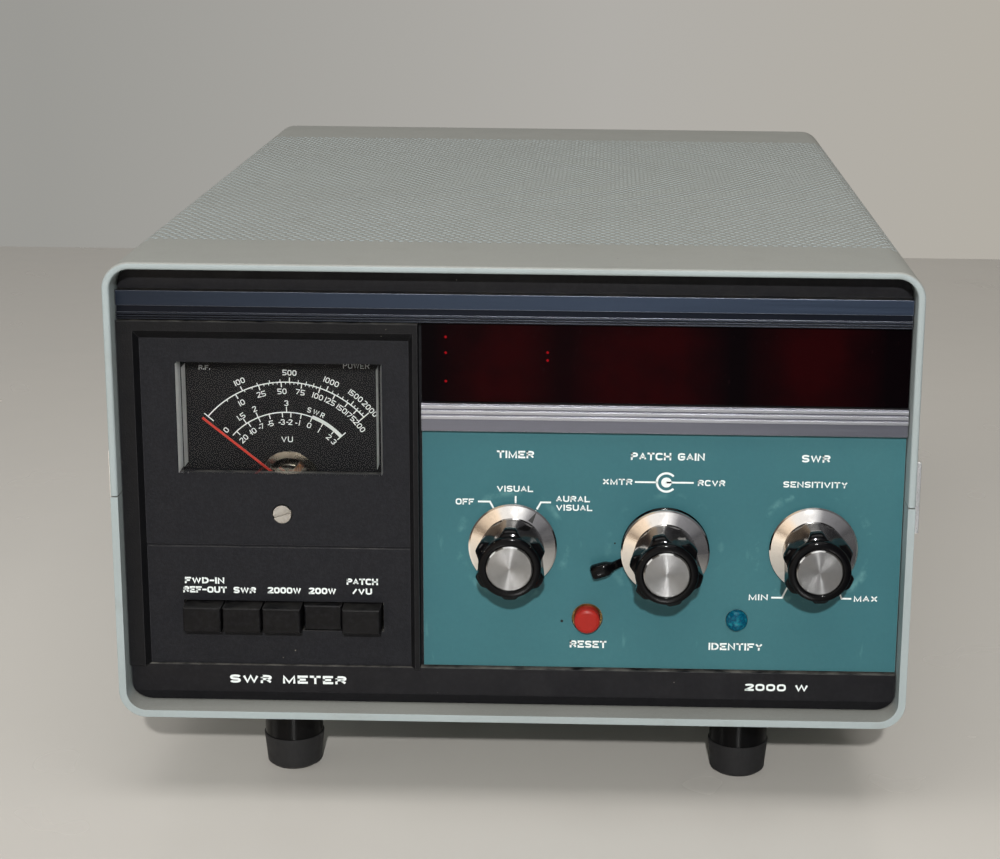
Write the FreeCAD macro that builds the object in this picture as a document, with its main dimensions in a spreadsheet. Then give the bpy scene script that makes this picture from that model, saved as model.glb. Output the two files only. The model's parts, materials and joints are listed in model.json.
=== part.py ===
import FreeCAD, Part
import math
import os
import types

import Sketcher

# An SWR meter: a standing-wave-ratio and power meter with a clock display, a phone patch and a timer,
# in a two-shell steel cabinet. Millimetres. The meter faces -Y, +X is its right hand seen from the
# front, +Z is up, and Z = 0 is the surface that its feet stand on. Every piece is drawn in cabinet
# coordinates: X from the middle, Y back from the front rim, Z up from the cabinet's floor.

Vector = FreeCAD.Vector
Rotation = FreeCAD.Rotation
X_AXIS = Vector(1, 0, 0)
Y_AXIS = Vector(0, 1, 0)
Z_AXIS = Vector(0, 0, 1)
OUTWARD = Rotation(X_AXIS, 90)      # local +Z points out of the front
BACKWARD = Rotation(X_AXIS, -90)    # local +Z points to the rear
UPRIGHT = Rotation()
RIGHTWARD = Rotation(Y_AXIS, 90)    # local +Z points to +X
LEFTWARD = Rotation(Y_AXIS, -90)    # local +Z points to -X
OVER = 1.0                          # how far a cutter runs past what it cuts
TINY = 1e-6
NEAR = 0.01                         # how close an edge has to be to where it is looked for

SIZES = {
    # cabinet
    "cab_w": 260, "cab_h": 153.4, "cab_d": 360, "corner_r": 9, "shell_t": 1.5,
    "hem_t": 2.4, "hem_d": 12, "seam_z": 76.2, "seam_gap": 0.4,
    "strip_t": 3, "strip_h": 24, "strip_y": 12,
    "screw_r": 1.8, "screw_hole_r": 1.9, "screw_head_r": 3.6, "screw_head_h": 1.7, "screw_len": 9,
    "screw_head_gap": 0.1, "strip_screw_rise": 7, "strip_screw_inset": 30,
    # feet
    "foot_h": 30, "post_h": 18.5, "post_r": 10, "foot_top_r": 10.4, "foot_low_r": 9.2,
    "foot_round": 2.6, "foot_x": 77.5, "foot_front": 35, "foot_rear": 325, "foot_bore_r": 2.2,
    "foot_well_r": 4.6, "foot_well_h": 6, "foot_screw_r": 2.1, "foot_head_r": 4.2, "foot_head_h": 3,
    "foot_screw_top": 7, "foot_lip": 0.2,
    # panel stack behind the rim
    "panel_half_w": 127.3, "panel_low": 2.9, "panel_high": 150.6, "sub_y": 11, "sub_t": 1.5,
    "panel_corner_r": 6.4, "split_x": -29.6,
    "top_rail_low": 133.7, "top_rail_high": 143, "top_rail_y": 6.9, "top_groove_deep": 1,
    "thin_groove_low": 134.05, "thin_groove_top": 134.55, "next_groove_low": 134.95,
    "next_groove_top": 135.3, "wide_groove_low": 135.8, "wide_groove_top": 138.1,
    "mid_rail_low": 98, "mid_rail_high": 107.1, "mid_rail_y": 6.3, "mid_groove_deep": 0.7,
    "mid_rib_h": 0.95, "mid_ribs_top": 106.6, "mid_rib_pitch": 1.75,
    "bar_high": 15.8, "bar_y": 8, "bar_bevel_top": 6.4, "bar_bevel_deep": 1.6,
    "teal_y": 9.5, "teal_low": 16.4, "teal_high": 97.7,
    "window_y": 9, "window_low": 107.4, "window_high": 133.3,
    "window_hole_inset": 4, "window_hole_lip": 2.6,
    # meter and push-button moulding
    "bezel_left": -127.3, "bezel_right": -30.6, "bezel_low": 16, "bezel_high": 133.3,
    "bezel_y": 5.6, "bezel_field_y": 9, "field_left": -120.7, "field_right": -33.8,
    "field_high": 127.1, "frame_left": -122.1, "frame_right": -32.2, "frame_high": 130.2,
    "groove_z": 57.2, "groove_w": 0.8, "groove_deep": 0.7,
    "meter_left": -109, "meter_right": -42.5, "meter_low": 82.5, "meter_high": 119.3,
    "cover_gap": 0.15, "cover_y": 6.6, "cover_wall": 1.6, "cover_back": 14.6,
    "case_left": -113, "case_right": -38.5, "case_low": 61.5, "case_high": 122.5,
    "case_wall": 1.6, "case_back": 44, "case_gap": 0.3,
    "pivot_x": -75, "pivot_z": 76.8, "dial_y": 18, "dial_t": 0.5, "dial_hole_r": 10.7,
    "core_r": 5.4, "core_front": 20, "core_back": 33, "yoke_in_r": 7.6, "yoke_out_r": 9.8,
    "yoke_arm_half": 1.6, "yoke_arm_inset": 1, "coil_half_in": 6, "coil_half_out": 7, "coil_front": 18.9,
    "coil_rear": 34.6, "coil_wire": 1, "coil_half_t": 1,
    "pointer_y": 15.6, "pointer_t": 0.4, "pointer_tip": 35.2,
    "pointer_half_w": 0.35, "pointer_hub_r": 2, "hub_front": 0.4, "hub_back": 1,
    "pointer_tail": 7, "weight_half_h": 1, "weight_half_w": 1, "pivot_r": 0.6, "staff_front": 1.5,
    "staff_back": 2,
    "pointer_rest": -51,
    "zero_x": -75.8, "zero_z": 68.4, "zero_r": 3, "zero_hole_r": 3.35, "zero_y": 8.5,
    "zero_head": 2.6, "zero_slot_w": 0.9, "zero_slot_deep": 0.9, "zero_stem_r": 1.5,
    "zero_stem_end": 15,
    # push buttons
    "keys_left": -109.2, "keys_right": -42.8, "keys_low": 28, "keys_high": 38.2,
    "key_mid_x": -76, "key_pitch": 13.15, "key_w": 12.5, "key_low": 28.9, "key_high": 37.6,
    "key_y": 3, "key_travel": 4, "key_len": 10, "key_bevel": 0.6, "stem_half_w": 2.5,
    "stem_half_h": 2, "stem_len": 36, "stem_gap": 0.06, "stem_bite": 0.5, "bank_front": 20.5, "bank_back": 44,
    "bank_t": 1.2, "bank_low": 26.6, "bank_high": 40, "bank_left": -111.4, "bank_right": -40.6,
    # controls
    "timer_x": 0, "timer_z": 58.9, "patch_x": 50, "patch_z": 58.2, "sense_x": 98.5,
    "sense_z": 59.2, "patch_lift": 2,
    "bush_r": 4.7, "bush_hole_r": 4.85, "bush_out": 2.2, "shaft_r": 3.15, "shaft_gap": 0.05,
    "bore_gap": 0.03, "shaft_bevel": 0.4, "shaft_end": -18,
    "skirt_in_r": 7.5, "skirt_out_r": 14.5, "skirt_low": 2, "skirt_rim": 1.5, "skirt_top": 3.2,
    "skirt_t": 0.8, "skirt_edge": 0.5, "skirt_edge_h": 0.3,
    "knob_low": 3.4, "knob_low_r": 10.2, "knob_high_r": 12, "knob_round_low": 20.4,
    "knob_round_r": 11.6, "knob_round": 21.4, "knob_high_in_r": 10.8, "knob_high": 22,
    "knob_cap_r": 10.2, "knob_cap_round": 0.6, "knob_face": 24.5, "knob_well_r": 7.5,
    "knob_well": 23.3, "knob_hollow_top": 5.4, "knob_bore_top": 17, "insert_r": 7.4,
    "insert_top": 25.1, "insert_edge": 0.4, "flute_r": 6.5, "flute_at": 16.3,
    "nut_flats": 11, "nut_t": 2, "thin_shaft_r": 1.55,
    "lever_r": 14.9, "lever_low": 0.4, "lever_t": 0.9, "lever_edge": 0.2, "lever_cup_in": 6.6,
    "lever_cup_out": 7.2, "lever_cup_top": 5.2, "lever_cup_t": 0.9, "lever_sleeve_t": 0.6,
    "lever_sleeve_top": 7, "lever_neck_half_w": 1.3, "lever_bite": 2, "riser_t": 1.6,
    "paddle_start": 18.6, "paddle_end": 25.2, "paddle_half_w": 2.3, "paddle_low": 0.9,
    "paddle_top": 5.2, "lever_angle": 162.5,
    "switch_r": 15, "clicker_t": 3, "wafer_t": 1.2, "first_wafer": 9, "last_wafer": 14,
    "post_inset": 3, "post_pin_r": 1.5, "post_len": 14.5, "post_end": 14.8,
    "pot_r": 11.5, "pot_back": -18.5, "patch_pot_back": -26,
    # reset button and identify lamp
    "reset_x": 24.7, "reset_z": 33.7, "reset_hole_r": 5.15, "reset_r": 4.25, "reset_y": 5.6,
    "reset_back": 15, "reset_edge_r": 0.4, "reset_edge": 0.9, "reset_crown_r": 1.2,
    "reset_crown": 0.3, "tube_in_r": 4.32, "tube_out_r": 5.05, "tube_front": 10.2,
    "reset_body_r": 7, "reset_body_front": 12.5, "reset_body_back": 34, "reset_floor": 21,
    "spring_r": 3.2, "spring_wire_r": 0.35, "spring_pitch": 1.4, "spring_gap": 0.05,
    "lens_x": 74.2, "lens_z": 33.9, "lens_r": 3.6, "lens_hole_r": 3.7, "lens_rise": 2.6,
    "lens_back": 15, "lamp_r": 2.4, "lamp_h": 3, "lamp_back": 30, "lamp_base_r": 4,
    "lamp_gap": 0.5,
    # inside
    "pan_low": 2.6, "pan_t": 1.2, "pan_half_w": 119, "pan_wall_h": 20,
    "rear_inset": 8, "rear_t": 1.5,
    "digit_w": 14, "digit_h": 18, "digit_d": 7, "digit_pitch": 23, "digit_mid_x": 49,
    "digit_mid_z": 119, "digit_back": 24, "display_board_t": 1.6, "display_board_below": 6,
    "display_board_above": 4,
    "board_t": 1.6, "board_left": -110, "board_right": 40, "board_front": 130,
    "board_back": 290, "board_z": 16, "chip_x": 18, "chip_y": 20, "chip_pitch": 30, "chip_w": 19,
    "chip_d": 7, "chip_h": 4, "can_r": 8, "can_h": 26, "can_x": 30, "can_y": 22, "can_pitch": 34,
    "pillar_r": 3, "pillar_inset": 6,
    "iron_w": 62, "iron_d": 46, "iron_h": 52, "iron_x": 80, "iron_y": 285, "winding_out": 13,
    "winding_inset": 10, "strap_w": 9, "strap_right_w": 6, "strap_inset": 8, "strap_t": 2,
    "speaker_x": 78, "speaker_y": 110, "speaker_r": 28, "magnet_r": 12, "magnet_h": 8,
    "frame_w": 4, "frame_low": 13, "frame_top": 15.5, "cone_w": 3, "dust_cap_r": 9,
    "dust_cap_h": 11,
    # rear connectors
    "sensor_left": -118, "sensor_right": -30, "sensor_low": 42, "sensor_high": 84,
    "sensor_deep": 46, "coax_x": -74, "coax_half_pitch": 19, "coax_z": 63, "coax_r": 7.9,
    "coax_len": 18, "coax_flange_half": 12.5, "coax_flange_t": 1.6, "coax_core_r": 5.4,
    "coax_throat": 8, "coax_root": 7, "coax_bore": 9, "coax_pin_back": 6, "coax_pin_r": 1.9,
    "coax_tail": 8, "jack_x": 11, "jack_pitch": 17, "jack_z": 50, "jack_r": 4.15,
    "jack_len": 9.5, "jack_tail": 5, "jack_flange_r": 6, "jack_flange_t": 1, "jack_socket_r": 1.6,
    "cord_x": 104, "cord_z": 40, "cord_r": 3.4, "grommet_r": 7.5, "grommet_gap": 0.05,
    "grommet_flange_r": 9.5, "grommet_in": 4, "grommet_flange_t": 2, "grommet_taper": 2,
    "grommet_out": 5,
}
KNOB_LOBES = 6
HEX_SIDES = 6
DIGITS = 6
CHIP_COLUMNS = 4
CHIP_LINES = 3
CANS = 3
JACKS = 4
MID_RIBS = 3
ZERO_SLOT_TURN = 72                 # clockwise from upright, in degrees
# How far each knob is turned, in degrees, so that its lobes stand as its setting leaves them.
KNOB_TURNS = {"timer": 0, "patch": 14, "sensitivity": 5}
# The domed lens: fractions of its radius and of its rise.
LENS_DOME = ((1, 0.35), (0.93, 0.6), (0.72, 0.86), (0.4, 0.98))
KEY_NAMES = ("power_button", "swr_button", "high_range_button", "low_range_button", "patch_button")
LATCHED_KEY = "low_range_button"

doc = FreeCAD.newDocument("swr_meter")
sheet = doc.addObject("Spreadsheet::Sheet", "Sizes")
for row, (name, number) in enumerate(SIZES.items(), 1):
    sheet.set("A%d" % row, name)
    sheet.set("B%d" % row, str(number))
    sheet.setAlias("B%d" % row, name)
doc.recompute()


class Dim:
    """A size: its number, and the formula on the sheet that gives it."""

    def __init__(self, value, text):
        self.value = float(value)
        self.text = text

    def __add__(self, other):
        other = dim(other)
        return Dim(self.value + other.value, "(%s + %s)" % (self.text, other.text))

    def __sub__(self, other):
        other = dim(other)
        return Dim(self.value - other.value, "(%s - %s)" % (self.text, other.text))

    def __mul__(self, other):
        other = dim(other)
        return Dim(self.value * other.value, "(%s * %s)" % (self.text, other.text))

    def __truediv__(self, other):
        other = dim(other)
        return Dim(self.value / other.value, "(%s / %s)" % (self.text, other.text))

    def __neg__(self):
        return Dim(-self.value, "(0 - %s)" % self.text)

    def __radd__(self, other):
        return dim(other) + self

    def __rsub__(self, other):
        return dim(other) - self

    def __rmul__(self, other):
        return dim(other) * self


def dim(number):
    return number if isinstance(number, Dim) else Dim(number, repr(float(number)))


S = types.SimpleNamespace(**{name: Dim(sheet.get(name), "Sizes." + name) for name in SIZES})

# How far the patch knob stands out of the front rim, and the coax sockets out of the rear rim.
FRONT_OUT = S.insert_top + S.patch_lift - S.teal_y
REAR_OUT = S.coax_len + S.coax_flange_t - S.rear_inset
# The frame's origin stands under the middle of the whole depth.
MIDDLE_Y = (S.cab_d + REAR_OUT - FRONT_OUT) / 2
REAR_Y = S.cab_d - S.rear_inset
SUB_BACK = S.sub_y + S.sub_t
CONTROLS = ((S.timer_x, S.timer_z), (S.patch_x, S.patch_z), (S.sense_x, S.sense_z))
nodes = []


def bind(obj, prop, size):
    obj.setExpression(prop, dim(size).text)


def move(obj, x, y, z, turn=UPRIGHT):
    """Put an object at a place given by formulas, turned by a fixed rotation."""
    obj.Placement = FreeCAD.Placement(Vector(), turn)
    for axis, size in zip("xyz", (x, y, z)):
        bind(obj, "Placement.Base." + axis, size)
    return obj


def node(obj, name, x=0, y=0, z=0, turn=UPRIGHT):
    """Finish a sub-part: its label, and its place in the frame from its place in the cabinet."""
    obj.Label = name
    move(obj, dim(x), dim(y) - MIDDLE_Y, dim(z) + S.foot_h, turn)
    nodes.append(obj)
    return obj


# ---- Part primitives and booleans ----

def box(x0, x1, y0, y1, z0, z1):
    obj = doc.addObject("Part::Box", "box")
    bind(obj, "Length", dim(x1) - x0)
    bind(obj, "Width", dim(y1) - y0)
    bind(obj, "Height", dim(z1) - z0)
    return move(obj, x0, y0, z0)


def rod(radius, length, x=0, y=0, z=0, turn=UPRIGHT):
    obj = doc.addObject("Part::Cylinder", "rod")
    bind(obj, "Radius", radius)
    bind(obj, "Height", length)
    return move(obj, x, y, z, turn)


def rod_y(radius, x, z, y0, y1):
    """A cylinder along Y from y0 back to y1."""
    return rod(radius, dim(y1) - y0, x, y0, z, BACKWARD)


def tapered(front, back, y0, y1):
    """A block along Y that narrows from one outline to another. Outlines are x0, x1, z0, z1."""
    obj = doc.addObject("Part::Wedge", "tapered")
    for prop, size in zip(("Xmin", "Xmax", "Zmin", "Zmax"), front):
        bind(obj, prop, size)
    for prop, size in zip(("X2min", "X2max", "Z2min", "Z2max"), back):
        bind(obj, prop, size)
    bind(obj, "Ymin", y0)
    bind(obj, "Ymax", y1)
    return obj


def cone(r_low, r_high, height, x=0, y=0, z=0, turn=UPRIGHT):
    obj = doc.addObject("Part::Cone", "cone")
    bind(obj, "Radius1", r_low)
    bind(obj, "Radius2", r_high)
    bind(obj, "Height", height)
    return move(obj, x, y, z, turn)


def fuse(*shapes):
    obj = doc.addObject("Part::MultiFuse", "fused")
    obj.Shapes = list(shapes)
    obj.Refine = True
    return obj


def cut(base, *tools):
    obj = doc.addObject("Part::Cut", "cut")
    obj.Base = base
    obj.Tool = tools[0] if len(tools) == 1 else fuse(*tools)
    obj.Refine = True
    return obj


def common(first, second):
    obj = doc.addObject("Part::MultiCommon", "common")
    obj.Shapes = [first, second]
    return obj


def group(shapes):
    """Several separate solids that share one node."""
    obj = doc.addObject("Part::Compound", "group")
    obj.Links = list(shapes)
    return obj


def rounded_bar(half_w, z0, z1, radius, y0, y1):
    """A long block along Y with its four long edges rounded."""
    half_w, z0, z1 = dim(half_w), dim(z0), dim(z1)
    parts = [box(-half_w + radius, half_w - radius, y0, y1, z0, z1),
             box(-half_w, half_w, y0, y1, z0 + radius, z1 - radius)]
    for x in (-half_w + radius, half_w - radius):
        for z in (z0 + radius, z1 - radius):
            parts.append(rod_y(radius, x, z, y0, y1))
    return fuse(*parts)


# ---- PartDesign bodies ----

def new_body(name):
    return doc.addObject("PartDesign::Body", name)


def new_sketch(body, role):
    sketch = body.newObject("Sketcher::SketchObject", body.Name + "_sketch")
    plane = next(f for f in body.Origin.OriginFeatures if f.Role == role)
    sketch.AttachmentSupport = [(plane, "")]
    sketch.MapMode = "FlatFace"
    return sketch


def pin_point(sketch, geometry, end, u, v):
    """Tie a point of a sketch to the sketch's origin by two sizes."""
    for kind, axis, size in (("DistanceX", -2, dim(u)), ("DistanceY", -1, dim(v))):
        if abs(size.value) < TINY:
            sketch.addConstraint(Sketcher.Constraint("PointOnObject", geometry, end, axis))
        else:
            row = sketch.addConstraint(Sketcher.Constraint(kind, -1, 1, geometry, end, size.value))
            sketch.setExpression("Constraints[%d]" % row, size.text)


def draw_outline(sketch, points):
    """A closed outline of straight lines through points given as pairs of sizes."""
    first = sketch.GeometryCount
    spots = [(dim(u), dim(v)) for u, v in points]
    count = len(spots)
    for i in range(count):
        (u, v), (next_u, next_v) = spots[i], spots[(i + 1) % count]
        line = Part.LineSegment(Vector(u.value, v.value, 0), Vector(next_u.value, next_v.value, 0))
        sketch.addGeometry(line, False)
    for i in range(count):
        after = first + (i + 1) % count
        sketch.addConstraint(Sketcher.Constraint("Coincident", first + i, 2, after, 1))
    for i, (u, v) in enumerate(spots):
        pin_point(sketch, first + i, 1, u, v)


def draw_box(sketch, u0, u1, v0, v1):
    draw_outline(sketch, [(u0, v0), (u1, v0), (u1, v1), (u0, v1)])


def draw_circle(sketch, u, v, radius):
    u, v, radius = dim(u), dim(v), dim(radius)
    row = sketch.addGeometry(Part.Circle(Vector(u.value, v.value, 0), Z_AXIS, radius.value), False)
    pin_point(sketch, row, 3, u, v)
    tie = sketch.addConstraint(Sketcher.Constraint("Radius", row, radius.value))
    sketch.setExpression("Constraints[%d]" % tie, radius.text)


def pad(body, sketch, length, reverse=False, middle=False):
    feature = body.newObject("PartDesign::Pad", body.Name + "_pad")
    feature.Profile = sketch
    feature.Reversed = reverse
    feature.Midplane = middle
    bind(feature, "Length", length)
    return feature


def soften(body, feature, size, wanted, kind="Fillet", prop="Radius"):
    """Round (or bevel) the edges of a feature that pass a test."""
    doc.recompute()
    names = ["Edge%d" % (i + 1) for i, edge in enumerate(feature.Shape.Edges) if wanted(edge)]
    done = body.newObject("PartDesign::" + kind, body.Name + "_" + kind.lower())
    done.Base = (feature, names)
    bind(done, prop, size)
    return done


def along(edge, axis):
    """Whether a straight edge runs along an axis."""
    if edge.Curve.TypeId != "Part::GeomLine":
        return False
    return abs(abs(edge.tangentAt(edge.FirstParameter).dot(axis)) - 1) < TINY


def panel(name, outline, thickness, boxes=(), circles=()):
    """A flat plate facing the front, drawn in X and Z, with its front face at Y = 0."""
    body = new_body(name)
    sketch = new_sketch(body, "XZ_Plane")
    draw_outline(sketch, outline)
    for spot in boxes:
        draw_box(sketch, *spot)
    for spot in circles:
        draw_circle(sketch, *spot)
    pad(body, sketch, thickness, reverse=True)
    return body


def corners(x0, x1, z0, z1):
    return [(x0, z0), (x1, z0), (x1, z1), (x0, z1)]


def extrusion(name, section, half_length):
    """A bar along X with a section drawn in Y and Z."""
    body = new_body(name)
    sketch = new_sketch(body, "YZ_Plane")
    draw_outline(sketch, section)
    pad(body, sketch, dim(half_length) * 2, middle=True)
    return body


def turned(name, profile):
    """A piece turned about its local Z from an outline of (radius, height) points."""
    body = new_body(name)
    sketch = new_sketch(body, "XZ_Plane")
    draw_outline(sketch, profile)
    feature = body.newObject("PartDesign::Revolution", name + "_turn")
    feature.Profile = sketch
    feature.ReferenceAxis = (sketch, ["V_Axis"])
    feature.Angle = 360
    return body


# ---- cabinet ----

def make_shells():
    outer = rounded_bar(S.cab_w / 2, 0, S.cab_h, S.corner_r, 0, S.cab_d)
    through = rounded_bar(S.cab_w / 2 - S.hem_t, S.hem_t, S.cab_h - S.hem_t,
                          S.corner_r - S.hem_t, -OVER, S.cab_d + OVER)
    between = rounded_bar(S.cab_w / 2 - S.shell_t, S.shell_t, S.cab_h - S.shell_t,
                          S.corner_r - S.shell_t, S.hem_d, S.cab_d - S.hem_d)
    wrap = cut(outer, through, between)
    half = S.cab_w / 2 + OVER
    rise = S.strip_screw_rise
    side_holes = []
    for y in (S.strip_screw_inset, S.cab_d - S.strip_screw_inset):
        for z in (S.seam_z - rise, S.seam_z + rise):
            side_holes.append(rod(S.screw_hole_r, half * 2, -half, y, z, RIGHTWARD))
    foot_holes = [rod(S.foot_bore_r, S.hem_t + OVER * 2, x, y, -OVER)
                  for x in (-S.foot_x, S.foot_x) for y in (S.foot_front, S.foot_rear)]
    drilled = cut(wrap, *side_holes, *foot_holes)
    above = box(-half, half, -OVER, S.cab_d + OVER, S.seam_z + S.seam_gap / 2, S.cab_h + OVER)
    below = box(-half, half, -OVER, S.cab_d + OVER, -OVER, S.seam_z - S.seam_gap / 2)
    node(common(drilled, above), "top_shell")
    node(common(drilled, below), "bottom_shell")


def make_side_plates():
    """The bright plate that joins the shells on each side, and its countersunk screws."""
    plates = []
    screws = []
    low, high = S.seam_z - S.strip_h / 2, S.seam_z + S.strip_h / 2
    for side, turn in ((1, RIGHTWARD), (-1, LEFTWARD)):
        inner = S.cab_w / 2 * side
        outer = (S.cab_w / 2 + S.strip_t) * side
        left, right = (inner, outer) if side > 0 else (outer, inner)
        sinks = []
        for y in (S.strip_screw_inset, S.cab_d - S.strip_screw_inset):
            for z in (S.seam_z - S.strip_screw_rise, S.seam_z + S.strip_screw_rise):
                sinks.append(rod(S.screw_hole_r, S.strip_t + OVER * 2, inner - OVER * side, y, z, turn))
                base = outer - S.screw_head_h * side
                sinks.append(cone(S.screw_hole_r, S.screw_head_r, S.screw_head_h, base, y, z, turn))
                shank_from = outer - S.screw_len * side
                shank = rod(S.screw_r, S.screw_len - S.screw_head_h / 2, shank_from, y, z, turn)
                head = cone(S.screw_r, S.screw_head_r - S.screw_head_gap, S.screw_head_h, base, y, z,
                            turn)
                screws.append(fuse(shank, head))
        plates.append(cut(box(left, right, S.strip_y, S.cab_d - S.strip_y, low, high), *sinks))
    node(group(plates), "side_plates")
    node(group(screws), "side_screws")


def make_feet():
    posts = []
    pads = []
    screws = []
    foot_top = -S.post_h
    foot_low = -S.foot_h
    well_top = foot_low + S.foot_well_h
    for x in (-S.foot_x, S.foot_x):
        for y in (S.foot_front, S.foot_rear):
            post = rod(S.post_r, S.post_h, x, y, foot_top)
            posts.append(cut(post, rod(S.foot_bore_r, S.post_h + OVER * 2, x, y, foot_top - OVER)))
            tread_r = S.foot_low_r + S.foot_lip
            tread_h = S.foot_round / 2
            tread = cone(S.foot_low_r - tread_h, tread_r, tread_h, x, y, foot_low)
            wall_h = S.foot_h - S.post_h - tread_h
            wall = cone(tread_r, S.foot_top_r, wall_h, x, y, foot_low + tread_h)
            bore = rod(S.foot_bore_r, S.foot_h, x, y, foot_low - OVER)
            well = rod(S.foot_well_r, S.foot_well_h + OVER, x, y, foot_low - OVER)
            pads.append(cut(fuse(tread, wall), bore, well))
            head = rod(S.foot_head_r, S.foot_head_h, x, y, well_top - S.foot_head_h)
            shank = rod(S.foot_screw_r, S.foot_screw_top - well_top, x, y, well_top)
            screws.append(fuse(head, shank))
    node(group(posts), "foot_posts")
    node(group(pads), "rubber_feet")
    node(group(screws), "foot_screws")


def make_chassis():
    front = SUB_BACK
    low, high = S.pan_low, S.pan_low + S.pan_wall_h
    pan = box(-S.pan_half_w, S.pan_half_w, front, REAR_Y - S.rear_t, low, high)
    inside = box(-S.pan_half_w + S.pan_t, S.pan_half_w - S.pan_t, front - OVER, REAR_Y,
                 low + S.pan_t, high + OVER)
    holes = [rod(S.foot_bore_r, S.pan_t + OVER * 2, x, y, low - OVER)
             for x in (-S.foot_x, S.foot_x) for y in (S.foot_front, S.foot_rear)]
    node(cut(pan, inside, *holes), "chassis")


def make_rear_panel():
    circles = [(S.coax_x - S.coax_half_pitch, S.coax_z, S.coax_r),
               (S.coax_x + S.coax_half_pitch, S.coax_z, S.coax_r),
               (S.cord_x, S.cord_z, S.grommet_r)]
    circles += [(S.jack_x + S.jack_pitch * i, S.jack_z, S.jack_r) for i in range(JACKS)]
    outline = corners(-S.panel_half_w, S.panel_half_w, S.panel_low, S.panel_high)
    body = panel("rear_panel", outline, S.rear_t, circles=circles)
    soften(body, body.Tip, S.panel_corner_r, is_outer_corner)
    node(body, "rear_panel", y=REAR_Y - S.rear_t)


def is_outer_corner(edge):
    """An edge through the plate at one of the four corners of the front or rear panel."""
    spot = edge.CenterOfMass
    at_side = abs(abs(spot.x) - S.panel_half_w.value) < NEAR
    at_end = any(abs(spot.z - end.value) < NEAR for end in (S.panel_low, S.panel_high))
    return along(edge, Y_AXIS) and at_side and at_end


# ---- front panel ----

def make_front_subpanel():
    gap = S.case_gap
    boxes = [(S.case_left - gap, S.case_right + gap, S.case_low - gap, S.case_high + gap),
             (S.keys_left - gap, S.keys_right + gap, S.keys_low - gap, S.keys_high + gap),
             (S.split_x + S.window_hole_inset, S.panel_half_w - S.window_hole_inset,
              S.window_low + S.window_hole_lip, S.window_high - S.window_hole_lip)]
    circles = [(x, z, S.bush_hole_r) for x, z in CONTROLS]
    circles += [(S.reset_x, S.reset_z, S.reset_hole_r), (S.lens_x, S.lens_z, S.lens_hole_r)]
    outline = corners(-S.panel_half_w, S.panel_half_w, S.panel_low, S.panel_high)
    body = panel("front_subpanel", outline, S.sub_t, boxes, circles)
    soften(body, body.Tip, S.panel_corner_r, is_outer_corner)
    node(body, "front_subpanel", y=S.sub_y)


def grooved_section(back, front, low, high, deep, grooves):
    """A bar's section in Y and Z with grooves across its front face, given from the lowest up."""
    points = [(back, high), (back, low), (front, low)]
    for start, end in grooves:
        points += [(front, start), (front + deep, start), (front + deep, end), (front, end)]
    points.append((front, high))
    return points


def make_rails():
    grooves = [(S.thin_groove_low, S.thin_groove_top), (S.next_groove_low, S.next_groove_top),
               (S.wide_groove_low, S.wide_groove_top)]
    section = grooved_section(S.sub_y, S.top_rail_y, S.top_rail_low, S.top_rail_high,
                              S.top_groove_deep, grooves)
    node(extrusion("top_trim_rail", section, S.panel_half_w), "top_trim_rail")

    # The middle rail's ribs stand on a flat face that fills its lower half.
    face = S.mid_rail_y + S.mid_groove_deep
    section = [(S.sub_y, S.mid_rail_high), (S.sub_y, S.mid_rail_low), (face, S.mid_rail_low)]
    for i in reversed(range(MID_RIBS)):
        top = S.mid_ribs_top - S.mid_rib_pitch * i
        low = top - S.mid_rib_h
        section += [(face, low), (S.mid_rail_y, low), (S.mid_rail_y, top), (face, top)]
    section.append((face, S.mid_rail_high))
    half = (S.panel_half_w - S.split_x) / 2
    node(extrusion("middle_trim_rail", section, half), "middle_trim_rail", x=S.split_x + half)

    # The bottom bar's lower edge leans back.
    outline = corners(-S.panel_half_w, S.panel_half_w, S.panel_low, S.bar_high)
    body = panel("bar_blank", outline, S.sub_y - S.bar_y)
    soften(body, body.Tip, S.panel_corner_r, is_outer_corner)
    bevel = extrusion("bar_bevel", [(0, S.bar_bevel_top), (0, S.panel_low), (S.bar_bevel_deep, S.panel_low)],
                      S.panel_half_w + OVER)
    node(cut(body, bevel), "bottom_trim_bar", y=S.bar_y)


def make_control_panel():
    circles = [(x, z, S.bush_hole_r) for x, z in CONTROLS]
    circles += [(S.reset_x, S.reset_z, S.reset_hole_r), (S.lens_x, S.lens_z, S.lens_hole_r)]
    outline = corners(S.split_x, S.panel_half_w, S.teal_low, S.teal_high)
    node(panel("control_panel", outline, S.sub_y - S.teal_y, circles=circles), "control_panel",
         y=S.teal_y)


def make_display():
    outline = corners(S.split_x, S.panel_half_w, S.window_low, S.window_high)
    body = panel("display_window", outline, S.sub_y - S.window_y)
    node(body, "display_window", y=S.window_y)
    half_w, half_h = S.digit_w / 2, S.digit_h / 2
    digits = []
    for i in range(DIGITS):
        x = S.digit_mid_x + S.digit_pitch * (i - (DIGITS - 1) / 2)
        digits.append(box(x - half_w, x + half_w, S.digit_back - S.digit_d, S.digit_back,
                          S.digit_mid_z - half_h, S.digit_mid_z + half_h))
    node(group(digits), "display_digits")
    edge = S.digit_pitch * DIGITS / 2
    outline = corners(S.digit_mid_x - edge, S.digit_mid_x + edge,
                      S.digit_mid_z - half_h - S.display_board_below,
                      S.digit_mid_z + half_h + S.display_board_above)
    node(panel("display_board", outline, S.display_board_t), "display_board", y=S.digit_back)


# ---- meter ----

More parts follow.
